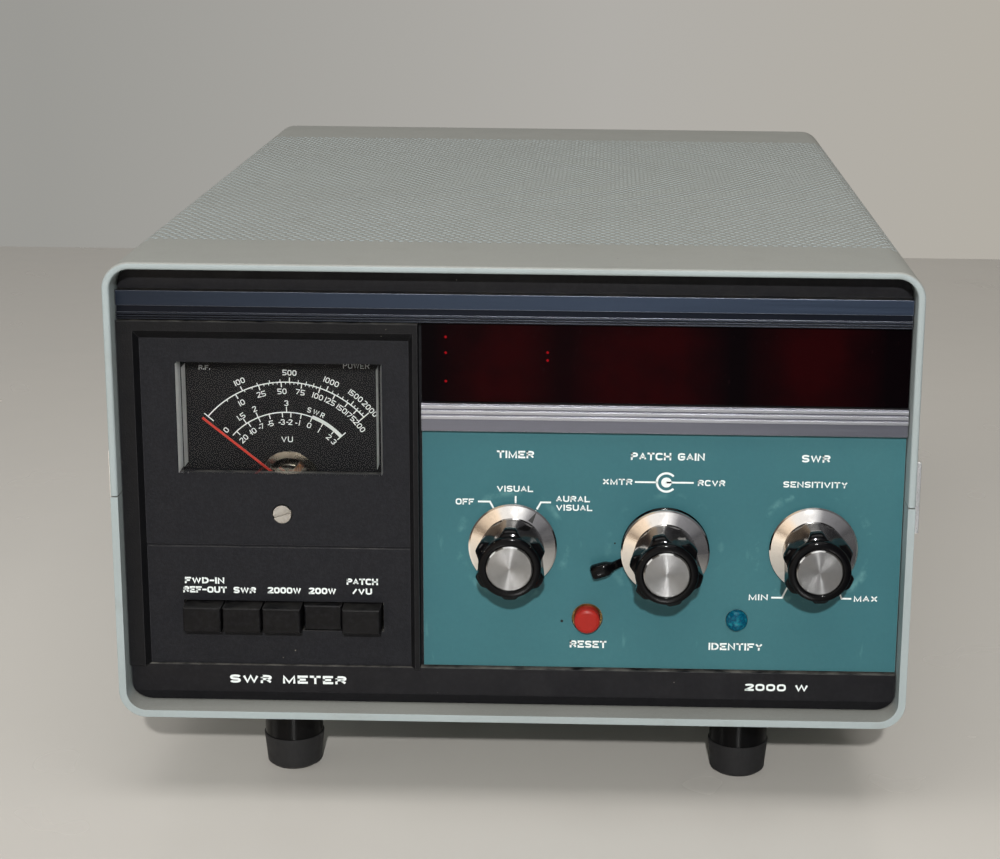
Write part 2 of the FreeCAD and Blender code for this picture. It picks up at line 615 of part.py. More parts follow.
def make_bezel():
    """The black moulding round the meter and the push buttons. Its field lies back between
    sloping borders at the sides and the top, and runs out at the bottom."""
    block = box(S.bezel_left, S.bezel_right, S.bezel_y, S.sub_y, S.bezel_low, S.bezel_high)
    open_end = S.bezel_low - OVER
    field = tapered((S.frame_left, S.frame_right, open_end, S.frame_high),
                    (S.field_left, S.field_right, open_end, S.field_high), S.bezel_y, S.bezel_field_y)
    groove = box(S.field_left, S.field_right, S.bezel_field_y - OVER,
                 S.bezel_field_y + S.groove_deep, S.groove_z - S.groove_w / 2,
                 S.groove_z + S.groove_w / 2)
    sight = box(S.meter_left, S.meter_right, 0, S.sub_y + OVER, S.meter_low, S.meter_high)
    keys = box(S.keys_left, S.keys_right, 0, S.sub_y + OVER, S.keys_low, S.keys_high)
    screw = rod_y(S.zero_hole_r, S.zero_x, S.zero_z, 0, S.sub_y + OVER)
    node(cut(block, field, groove, sight, keys, screw), "meter_bezel")


def make_meter():
    gap = S.cover_gap
    left, right = S.meter_left + gap, S.meter_right - gap
    low, high = S.meter_low + gap, S.meter_high - gap
    wall = S.cover_wall
    shell = box(left, right, S.cover_y, S.cover_back, low, high)
    hollow = box(left + wall, right - wall, S.cover_y + wall, S.cover_back + OVER,
                 low + wall, high - wall)
    node(cut(shell, hollow), "meter_cover")

    wall = S.case_wall
    left, right, low, high = S.case_left, S.case_right, S.case_low, S.case_high
    case = box(left, right, S.sub_y + gap, S.case_back, low, high)
    hollow = box(left + wall, right - wall, 0, S.case_back - wall, low + wall, high - wall)
    node(cut(case, hollow), "meter_case")

    dial = box(left + wall + gap, right - wall - gap, S.dial_y, S.dial_y + S.dial_t,
               S.pivot_z, high - wall - gap)
    node(cut(dial, rod_y(S.dial_hole_r, S.pivot_x, S.pivot_z, 0, S.case_back)), "meter_dial")

    core = rod_y(S.core_r, S.pivot_x, S.pivot_z, S.core_front, S.core_back)
    ring = rod_y(S.yoke_out_r, S.pivot_x, S.pivot_z, S.core_front, S.core_back)
    ring_hole = rod_y(S.yoke_in_r, S.pivot_x, S.pivot_z, 0, S.case_back)
    yoke = cut(ring, ring_hole)
    arm = box(S.pivot_x - S.yoke_arm_half, S.pivot_x + S.yoke_arm_half,
              S.core_front + S.yoke_arm_inset, S.core_back - S.yoke_arm_inset, low + wall,
              S.pivot_z - S.core_r / 2)
    pin_hole = rod_y(S.pivot_r + S.shaft_gap, S.pivot_x, S.pivot_z, 0, S.case_back)
    node(cut(fuse(core, yoke, arm), pin_hole), "meter_core")


def make_movement():
    """The needle and the coil, drawn straight up about the pivot and turned to the needle's rest."""
    rest = Rotation(Y_AXIS, S.pointer_rest.value)
    front = S.pointer_y
    blade = box(-S.pointer_half_w, S.pointer_half_w, front, front + S.pointer_t,
                -S.pointer_tail, S.pointer_tip)
    hub = rod_y(S.pointer_hub_r, 0, 0, front - S.hub_front, front + S.hub_back)
    weight = box(-S.weight_half_w, S.weight_half_w, front - S.hub_front, front + S.hub_back,
                 -S.pointer_tail - S.weight_half_h, -S.pointer_tail + S.weight_half_h)
    staff = rod_y(S.pivot_r, 0, 0, front - S.staff_front, S.coil_rear + S.staff_back)
    node(fuse(blade, hub, weight, staff), "meter_pointer", S.pivot_x, 0, S.pivot_z, rest)

    outer = box(-S.coil_half_out, S.coil_half_out, S.coil_front, S.coil_rear,
                -S.coil_half_t, S.coil_half_t)
    inner = box(-S.coil_half_in, S.coil_half_in, S.coil_front + S.coil_wire,
                S.coil_rear - S.coil_wire, -S.coil_half_t - OVER, S.coil_half_t + OVER)
    pin_hole = rod_y(S.pivot_r, 0, 0, 0, S.case_back)
    node(cut(outer, inner, pin_hole), "meter_coil", S.pivot_x, 0, S.pivot_z, rest)


def make_zero_screw():
    head = rod_y(S.zero_r, 0, 0, S.zero_y, S.zero_y + S.zero_head)
    stem = rod_y(S.zero_stem_r, 0, 0, S.zero_y, S.zero_stem_end)
    slot = box(-S.zero_slot_w / 2, S.zero_slot_w / 2, S.zero_y - OVER,
               S.zero_y + S.zero_slot_deep, -S.zero_r - OVER, S.zero_r + OVER)
    node(cut(fuse(head, stem), slot), "meter_zero_screw", S.zero_x, 0, S.zero_z,
         Rotation(Y_AXIS, ZERO_SLOT_TURN))


# ---- push buttons ----

def key_x(i):
    return S.key_mid_x + S.key_pitch * (i - len(KEY_NAMES) // 2)


def make_buttons():
    mid_z = (S.key_low + S.key_high) / 2
    half_w, half_h = S.key_w / 2, (S.key_high - S.key_low) / 2
    for i, name in enumerate(KEY_NAMES):
        body = new_body(name)
        sketch = new_sketch(body, "XZ_Plane")
        draw_box(sketch, -half_w, half_w, -half_h, half_h)
        cap = pad(body, sketch, S.key_len, reverse=True)
        at_front = lambda edge: abs(edge.CenterOfMass.y) < TINY and not along(edge, Y_AXIS)
        soften(body, cap, S.key_bevel, at_front)
        sketch = new_sketch(body, "XZ_Plane")
        draw_box(sketch, -S.stem_half_w, S.stem_half_w, -S.stem_half_h, S.stem_half_h)
        bind(sketch, "AttachmentOffset.Base.z", S.stem_bite - S.key_len)
        pad(body, sketch, S.stem_len + S.stem_bite, reverse=True)
        pressed = S.key_travel if name == LATCHED_KEY else dim(0)
        node(body, name, key_x(i), S.key_y + pressed, mid_z)


def make_button_bank():
    """The folded frame that guides the buttons' stems, with ears to the panel."""
    front, back, sheet_t = S.bank_front, S.bank_back, S.bank_t
    left, right, low, high = S.bank_left, S.bank_right, S.bank_low, S.bank_high
    tube = cut(box(left, right, front, back, low, high),
               box(left - OVER, right + OVER, front + sheet_t, back - sheet_t,
                   low + sheet_t, high - sheet_t))
    ears = [box(left, left + sheet_t, SUB_BACK, back, low, high),
            box(right - sheet_t, right, SUB_BACK, back, low, high)]
    mid_z = (S.key_low + S.key_high) / 2
    half_w, half_h = S.stem_half_w + S.stem_gap, S.stem_half_h + S.stem_gap
    slots = [box(key_x(i) - half_w, key_x(i) + half_w, front - OVER, back + OVER,
                 mid_z - half_h, mid_z + half_h) for i in range(len(KEY_NAMES))]
    node(cut(fuse(tube, *ears), *slots), "button_bank_frame")


# ---- rotary controls ----

def make_knob(prefix, x, z, lift, bore_r):
    """A flared knob with wide flutes, its aluminium insert and its spun skirt."""
    front = S.teal_y - lift
    profile = [(S.skirt_in_r, S.knob_low), (S.knob_low_r, S.knob_low),
               (S.knob_high_r, S.knob_round_low), (S.knob_round_r, S.knob_round),
               (S.knob_high_in_r, S.knob_high), (S.knob_cap_r, S.knob_high),
               (S.knob_cap_r, S.knob_face - S.knob_cap_round),
               (S.knob_cap_r - S.knob_cap_round, S.knob_face),
               (S.knob_well_r, S.knob_face), (S.knob_well_r, S.knob_well), (0, S.knob_well),
               (0, S.knob_bore_top), (bore_r, S.knob_bore_top), (bore_r, S.knob_hollow_top),
               (S.skirt_in_r, S.knob_hollow_top)]
    body = turned(prefix + "_knob_blank", profile)
    flutes = []
    for i in range(KNOB_LOBES):
        angle = math.radians(360.0 / KNOB_LOBES * i + KNOB_TURNS[prefix])
        flutes.append(rod(S.flute_r, S.knob_high - S.knob_low + OVER, S.flute_at * math.cos(angle),
                          S.flute_at * math.sin(angle), S.knob_low - OVER))
    node(cut(body, *flutes), prefix + "_knob", x, front, z, OUTWARD)

    edge = S.insert_edge
    insert = [(0, S.knob_well), (S.insert_r, S.knob_well), (S.insert_r, S.insert_top - edge),
              (S.insert_r - edge, S.insert_top), (0, S.insert_top)]
    node(turned(prefix + "_insert", insert), prefix + "_insert", x, front, z, OUTWARD)

    rim_r = S.skirt_out_r
    skirt = [(S.skirt_in_r, S.skirt_top), (S.skirt_in_r, S.skirt_top - S.skirt_t),
             (rim_r - S.skirt_t, S.skirt_rim), (rim_r, S.skirt_rim), (rim_r, S.skirt_low),
             (rim_r - S.skirt_edge, S.skirt_low + S.skirt_edge_h), (S.knob_low_r, S.knob_low),
             (S.skirt_in_r, S.knob_low)]
    node(turned(prefix + "_skirt", skirt), prefix + "_skirt", x, front, z, OUTWARD)


def shaft_profile(radius, top):
    bevel = S.shaft_bevel
    return [(0, S.shaft_end), (radius, S.shaft_end), (radius, top - bevel), (radius - bevel, top),
            (0, top)]


def bushing_profile(body_r, front, back):
    """A control's body with its threaded bushing, heights from the panel's face outward."""
    bore = S.shaft_r + S.shaft_gap
    return [(bore, S.bush_out), (S.bush_r, S.bush_out), (S.bush_r, front), (body_r, front),
            (body_r, back), (bore, back)]


def make_rotary_switch():
    """The timer's switch: a clicker plate on a bushing and two wafers on posts."""
    seat = S.teal_y - SUB_BACK
    body = turned("timer_switch_base", bushing_profile(S.switch_r, seat, seat - S.clicker_t))
    parts = [body]
    bore = S.shaft_r + S.shaft_gap
    for depth in (S.first_wafer, S.last_wafer):
        wafer = rod(S.switch_r, S.wafer_t, 0, 0, seat - depth)
        parts.append(cut(wafer, rod(bore, S.wafer_t + OVER * 2, 0, 0, seat - depth - OVER)))
    for side in (-1, 1):
        parts.append(rod(S.post_pin_r, S.post_len, (S.switch_r - S.post_inset) * side, 0,
                         seat - S.post_end))
    node(fuse(*parts), "timer_switch", S.timer_x, S.teal_y, S.timer_z, OUTWARD)


def make_controls():
    for prefix, (x, z), lift, radius in (("timer", CONTROLS[0], dim(0), S.shaft_r),
                                         ("patch", CONTROLS[1], S.patch_lift, S.thin_shaft_r),
                                         ("sensitivity", CONTROLS[2], dim(0), S.shaft_r)):
        make_knob(prefix, x, z, lift, radius + S.bore_gap)
        shaft = turned(prefix + "_shaft", shaft_profile(radius, S.knob_bore_top + lift))
        node(shaft, prefix + "_shaft", x, S.teal_y, z, OUTWARD)
    make_rotary_switch()
    seat = S.teal_y - SUB_BACK
    pot = turned("sensitivity_pot", bushing_profile(S.pot_r, seat, S.pot_back))
    node(pot, "sensitivity_pot", S.sense_x, S.teal_y, S.sense_z, OUTWARD)
    pot = turned("patch_pot", bushing_profile(S.pot_r, seat, S.patch_pot_back))
    node(pot, "patch_pot", S.patch_x, S.teal_y, S.patch_z, OUTWARD)

    nuts = []
    for x, z in CONTROLS:
        blank = doc.addObject("Part::Prism", "nut_blank")
        blank.Polygon = HEX_SIDES
        bind(blank, "Circumradius", S.nut_flats / 2 / math.cos(math.pi / HEX_SIDES))
        bind(blank, "Height", S.nut_t)
        move(blank, x, S.teal_y, z, OUTWARD)
        nuts.append(cut(blank, rod_y(S.bush_hole_r, x, z, 0, S.teal_y + OVER)))
    node(group(nuts), "panel_nuts")


def make_patch_lever():
    """The outer control of the patch pair: a sleeve, a cup over the nut, a disc and a paddle."""
    cup_in, cup_out, low = S.lever_cup_in, S.lever_cup_out, S.lever_low
    cup_low, cup_top = S.lever_cup_top - S.lever_cup_t, S.lever_cup_top
    disc_top = low + S.lever_t
    sleeve_in = S.thin_shaft_r + S.shaft_gap
    sleeve_out = S.shaft_r + S.lever_sleeve_t
    profile = [(sleeve_in, S.shaft_end + OVER), (S.shaft_r, S.shaft_end + OVER),
               (S.shaft_r, cup_low), (cup_in, cup_low), (cup_in, low), (S.lever_r, low),
               (S.lever_r, disc_top - S.lever_edge), (S.lever_r - S.lever_edge, disc_top),
               (cup_out, disc_top), (cup_out, cup_top), (sleeve_out, cup_top),
               (sleeve_out, S.lever_sleeve_top), (sleeve_in, S.lever_sleeve_top)]
    hub = turned("patch_lever_hub", profile)
    neck_w = S.lever_neck_half_w
    neck = box(S.lever_r - S.lever_bite, S.paddle_start + S.lever_bite, -neck_w, neck_w,
               S.paddle_low, disc_top)
    riser = box(S.paddle_start - S.riser_t, S.paddle_start + S.lever_bite, -neck_w, neck_w,
                S.paddle_low, S.paddle_top - S.riser_t / 2)
    paddle = box(S.paddle_start, S.paddle_end, -S.paddle_half_w, S.paddle_half_w, S.paddle_low,
                 S.paddle_top)
    arm = move(fuse(neck, riser, paddle), 0, 0, 0, Rotation(Z_AXIS, -S.lever_angle.value))
    node(fuse(hub, arm), "patch_lever", S.patch_x, S.teal_y, S.patch_z, OUTWARD)


# ---- reset button and identify lamp ----

def make_reset():
    length = S.reset_back - S.reset_y
    cap = [(0, 0), (S.reset_r, 0), (S.reset_r, length - S.reset_edge),
           (S.reset_r - S.reset_edge_r, length - S.reset_crown),
           (S.reset_r - S.reset_crown_r, length), (0, length)]
    node(turned("reset_button", cap), "reset_button", S.reset_x, S.reset_back, S.reset_z, OUTWARD)

    seat = S.reset_body_front
    floor = seat - S.reset_floor
    back = seat - S.reset_body_back
    profile = [(S.tube_in_r, seat - S.tube_front), (S.tube_out_r, seat - S.tube_front),
               (S.tube_out_r, 0), (S.reset_body_r, 0), (S.reset_body_r, back), (0, back),
               (0, floor), (S.tube_in_r, floor)]
    node(turned("reset_switch", profile), "reset_switch", S.reset_x, seat, S.reset_z, OUTWARD)

    body = new_body("reset_spring")
    sketch = new_sketch(body, "XZ_Plane")
    start = S.spring_wire_r + S.spring_gap
    draw_circle(sketch, S.spring_r, start, S.spring_wire_r)
    helix = body.newObject("PartDesign::AdditiveHelix", "reset_spring_coil")
    helix.Profile = sketch
    helix.ReferenceAxis = (sketch, ["V_Axis"])
    helix.Mode = 0
    bind(helix, "Pitch", S.spring_pitch)
    bind(helix, "Height", S.reset_floor - S.reset_back - (start + S.spring_gap) * 2)
    node(body, "reset_spring", S.reset_x, S.reset_floor, S.reset_z, OUTWARD)


def make_identify():
    back = S.teal_y - S.lens_back
    dome = [(0, back), (S.lens_r, back)]
    dome += [(S.lens_r * across, S.lens_rise * up) for across, up in LENS_DOME]
    dome.append((0, S.lens_rise))
    node(turned("identify_lens", dome), "identify_lens", S.lens_x, S.teal_y, S.lens_z, OUTWARD)
    length = S.lamp_back - S.lens_back
    bulb = [(0, 0), (S.lamp_r, 0), (S.lamp_r, S.lamp_h), (S.lamp_base_r, S.lamp_h),
            (S.lamp_base_r, length), (0, length)]
    node(turned("identify_lamp", bulb), "identify_lamp", S.lens_x, S.lens_back + S.lamp_gap,
         S.lens_z, BACKWARD)


# ---- inside and rear ----

def make_main_board():
    top = S.board_z + S.board_t
    floor = S.pan_low + S.pan_t
    parts = [box(S.board_left, S.board_right, S.board_front, S.board_back, S.board_z, top)]
    for column in range(CHIP_COLUMNS):
        for line in range(CHIP_LINES):
            x = S.board_left + S.chip_x + S.chip_pitch * column
            y = S.board_front + S.chip_y + S.chip_pitch * line
            parts.append(box(x, x + S.chip_w, y, y + S.chip_d, top, top + S.chip_h))
    for i in range(CANS):
        parts.append(rod(S.can_r, S.can_h, S.board_left + S.can_x + S.can_pitch * i,
                         S.board_back - S.can_y, top))
    inset = S.pillar_inset
    for x in (S.board_left + inset, S.board_right - inset):
        for y in (S.board_front + inset, S.board_back - inset):
            parts.append(rod(S.pillar_r, S.board_z - floor, x, y, floor))
    node(fuse(*parts), "main_board")


def make_transformer():
    floor = S.pan_low + S.pan_t
    half_w, half_d = S.iron_w / 2, S.iron_d / 2
    x0, x1 = S.iron_x - half_w, S.iron_x + half_w
    y0, y1 = S.iron_y - half_d, S.iron_y + half_d
    iron = box(x0, x1, y0, y1, floor, floor + S.iron_h)
    limb_w = S.iron_w / 6
    winding = box(x0 + limb_w, x1 - limb_w, y0 - S.winding_out, y1 + S.winding_out,
                  floor + S.winding_inset, floor + S.iron_h - S.winding_inset)
    strap_y0, strap_y1 = y0 + S.strap_inset, y1 - S.strap_inset
    straps = [box(x0 - S.strap_w, x0, strap_y0, strap_y1, floor, floor + S.strap_t),
              box(x1, x1 + S.strap_right_w, strap_y0, strap_y1, floor, floor + S.strap_t)]
    node(fuse(iron, winding, *straps), "power_transformer")


def make_speaker():
    radius = S.speaker_r
    profile = [(0, 0), (S.magnet_r, 0), (S.magnet_r, S.magnet_h), (radius - S.frame_w, S.frame_low),
               (radius, S.frame_low), (radius, S.frame_top), (radius - S.cone_w, S.frame_top),
               (S.dust_cap_r, S.dust_cap_h), (0, S.dust_cap_h)]
    node(turned("alarm_speaker", profile), "alarm_speaker", S.speaker_x, S.speaker_y,
         S.pan_low + S.pan_t)


def make_rear_connectors():
    inner = REAR_Y - S.rear_t
    wall = S.pan_t
    left, right, low, high = S.sensor_left, S.sensor_right, S.sensor_low, S.sensor_high
    front = inner - S.sensor_deep
    box_shell = cut(box(left, right, front, inner, low, high),
                    box(left + wall, right - wall, front + wall, inner + OVER, low + wall,
                        high - wall))
    node(box_shell, "sensor_box")

    sockets = []
    half = S.coax_flange_half
    for side in (-1, 1):
        x = S.coax_x + S.coax_half_pitch * side
        flange = box(x - half, x + half, REAR_Y, REAR_Y + S.coax_flange_t, S.coax_z - half,
                     S.coax_z + half)
        end = REAR_Y + S.coax_flange_t + S.coax_len
        barrel = rod_y(S.coax_r, x, S.coax_z, REAR_Y, end)
        throat = rod_y(S.coax_core_r, x, S.coax_z, REAR_Y + S.coax_throat, end + OVER)
        pin = rod_y(S.coax_pin_r * 2, x, S.coax_z, REAR_Y + S.coax_root, end - S.coax_pin_back)
        pin_hole = rod_y(S.coax_pin_r, x, S.coax_z, REAR_Y + S.coax_bore, end + OVER)
        tail = rod_y(S.coax_pin_r, x, S.coax_z, inner - S.coax_tail, REAR_Y + OVER)
        sockets.append(fuse(cut(fuse(flange, barrel), throat), cut(pin, pin_hole), tail))
    node(group(sockets), "coax_sockets")

    jacks = []
    for i in range(JACKS):
        x = S.jack_x + S.jack_pitch * i
        flange = rod_y(S.jack_flange_r, x, S.jack_z, REAR_Y, REAR_Y + S.jack_flange_t)
        end = REAR_Y + S.jack_len
        barrel = rod_y(S.jack_r, x, S.jack_z, inner - S.jack_tail, end)
        socket = rod_y(S.jack_socket_r, x, S.jack_z, REAR_Y, end + OVER)
        jacks.append(cut(fuse(flange, barrel), socket))
    node(group(jacks), "rear_jacks")

    neck_r = S.grommet_r - S.grommet_gap
    out = S.rear_t + S.grommet_out
    profile = [(S.cord_r, -S.grommet_in), (neck_r, -S.grommet_in), (neck_r, S.rear_t),
               (S.grommet_flange_r, S.rear_t),
               (S.grommet_flange_r, S.rear_t + S.grommet_flange_t),
               (S.grommet_flange_r - S.grommet_taper, out), (S.cord_r, out)]
    node(turned("cord_grommet", profile), "cord_grommet", S.cord_x, inner, S.cord_z, BACKWARD)


def build():
    make_shells()
    make_side_plates()
    make_feet()
    make_chassis()
    make_rear_panel()
    make_front_subpanel()
    make_rails()
    make_control_panel()
    make_display()
    make_bezel()
    make_meter()
    make_movement()
    make_zero_screw()
    make_buttons()
    make_button_bank()
    make_controls()
    make_patch_lever()
    make_reset()
    make_identify()
    make_main_board()
    make_transformer()
    make_speaker()
    make_rear_connectors()
    doc.recompute()


def write():
    """Check every object, then write one STEP file for each sub-part."""
    for obj in doc.Objects:
        faults = [state for state in obj.State if state in ("Invalid", "Error")]
        if faults:
            raise RuntimeError("%s is %s" % (obj.Name, faults))
    for obj in nodes:
        if obj.Shape.isNull() or not obj.Shape.isValid() or not obj.Shape.Solids:
            raise RuntimeError("%s has no valid solid" % obj.Label)
    os.makedirs("parts", exist_ok=True)
    for obj in nodes:
        obj.Shape.exportStep("parts/%s.step" % obj.Label)
        room = obj.Shape.BoundBox
        print("%-20s solids %2d  volume %10.1f  x %.1f..%.1f y %.1f..%.1f z %.1f..%.1f" % (
            obj.Label, len(obj.Shape.Solids), obj.Shape.Volume, room.XMin, room.XMax, room.YMin,
            room.YMax, room.ZMin, room.ZMax))
    print(len(nodes), "nodes")


build()
write()
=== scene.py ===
import json
import math

import bmesh
import bpy
from mathutils import Matrix, Vector
from mathutils.bvhtree import BVHTree


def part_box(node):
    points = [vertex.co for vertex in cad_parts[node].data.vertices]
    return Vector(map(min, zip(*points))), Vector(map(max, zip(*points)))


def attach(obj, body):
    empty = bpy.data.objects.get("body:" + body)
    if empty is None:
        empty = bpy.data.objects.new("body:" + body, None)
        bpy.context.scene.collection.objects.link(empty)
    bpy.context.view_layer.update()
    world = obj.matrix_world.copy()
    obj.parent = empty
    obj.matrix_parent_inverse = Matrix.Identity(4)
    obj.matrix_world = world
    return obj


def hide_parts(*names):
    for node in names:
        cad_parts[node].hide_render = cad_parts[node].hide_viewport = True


# The looks of a station SWR and power meter: its perforated cabinet, printed legends, meter scales,
# finishes, light and camera. Sizes are in millimetres in cabinet coordinates: X from the middle,
# Y back from the front rim, Z up from the cabinet's floor. place() turns them into the frame's
# metres. Angles on the front are in degrees, clockwise from straight up as seen from the front.

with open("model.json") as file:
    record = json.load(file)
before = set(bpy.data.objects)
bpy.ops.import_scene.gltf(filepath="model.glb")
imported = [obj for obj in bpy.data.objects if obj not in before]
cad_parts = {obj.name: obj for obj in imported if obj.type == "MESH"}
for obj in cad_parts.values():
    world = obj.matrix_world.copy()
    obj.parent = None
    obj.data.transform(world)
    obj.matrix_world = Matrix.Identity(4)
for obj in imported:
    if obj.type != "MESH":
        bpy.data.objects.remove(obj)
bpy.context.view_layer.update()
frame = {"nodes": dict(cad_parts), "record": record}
MM = 0.001
CABINET_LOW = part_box("bottom_shell")[0]
CABINET_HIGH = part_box("top_shell")[1]
CABINET_H = (CABINET_HIGH.z - CABINET_LOW.z) / MM
CABINET_D = (CABINET_HIGH.y - CABINET_LOW.y) / MM
HALF_W = CABINET_HIGH.x / MM


def place(x, y, z):
    """A point in cabinet millimetres, in the frame's metres."""
    return Vector((x * MM, CABINET_LOW.y + y * MM, CABINET_LOW.z + z * MM))


def back_of(node):
    """How far behind the rim the front of a node is."""
    return (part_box(node)[0].y - CABINET_LOW.y) / MM


def middle(node):
    """X and Z of the middle of a node."""
    low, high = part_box(node)
    return (low.x + high.x) / 2 / MM, ((low.z + high.z) / 2 - CABINET_LOW.z) / MM


# ---------------- materials
FIELD_DEEP = 3.4        # how far the meter moulding's field lies behind its border
RIB_LOW = 135.85        # the height below which the top rail is darker
CHIP = (16.3, 32.6)     # a chip in the panel's paint, X and Z
# Red glints in the display window: X and Z.
GLINTS = ((-21.8, 128.7), (-21.8, 123.5), (-21.8, 114.1), (11.0, 124.0), (11.0, 121.4))
# Where the digits behind the red window catch light, painted as redder patches on it: X and half a width.
GLOWS = ((-4.0, 14.0), (42.0, 20.0), (97.0, 15.0))
GLOW_BLUR = 8           # how far a glow fades inside and outside its half width
# Rubbed rings round the controls: the skirt, the ring's radius and how strong it is.
RUBS = (("timer_skirt", 17.8, 0.35), ("sensitivity_skirt", 19.0, 0.5), ("patch_skirt", 18.5, 0.2))
TURNED_PITCH = 0.33     # the spacing of the fine rings on turned metal
TURNED_DEPTH = 0.0015
ACRYLIC_IOR = 1.49


class Wiring:
    """Nodes wired up step by step."""

    def __init__(self, tree):
        self.tree = tree

    def put(self, key, value, node):
        """Links a socket to a node's input, or sets the input."""
        if isinstance(value, bpy.types.NodeSocket):
            self.tree.links.new(value, node.inputs[key])
        else:
            node.inputs[key].default_value = value

    def node(self, kind, **settings):
        """A new shader node. A setting with a capital is an input, and the others are properties."""
        made = self.tree.nodes.new("ShaderNode" + kind)
        for key, value in settings.items():
            if not key[0].isupper():
                setattr(made, key, value)
        for key, value in settings.items():
            if key[0].isupper():
                self.put(key.replace("_", " "), value, made)
        return made

    def filled(self, made, keys, values):
        """The node, with values put into the inputs with those keys."""
        for key, value in zip(keys, values):
            self.put(key, value, made)
        return made

    def math(self, operation, a, b=0.0, clamp=False):
        made = self.node("Math", operation=operation, use_clamp=clamp)
        return self.filled(made, (0, 1), (a, b)).outputs[0]

    def remap(self, value, *ends):
        """The value carried from low..high to 0..1 or to the next two ends, and held there."""
        return self.filled(self.node("MapRange", Value=value), (1, 2, 3, 4), ends).outputs[0]

    def mix(self, factor, first, second, kind="MIX"):
        made = self.node("Mix", data_type="RGBA", blend_type=kind)
        return self.filled(made, (0, 6, 7), (factor, first, second)).outputs[2]

    def ramp(self, value, stops):
        """Colours along a value, from stops of places and colours. The first and last are its ends."""
        low, high = stops[0][0], stops[-1][0]
        made = self.node("ValToRGB", Fac=self.remap(value, low, high))
        elements = made.color_ramp.elements
        for spot, color in stops[2:]:
            elements.new((spot - low) / (high - low))
        for element, (spot, color) in zip(elements, stops):
            element.position = (spot - low) / (high - low)
            element.color = (*color, 1.0)
        return made.outputs["Color"]


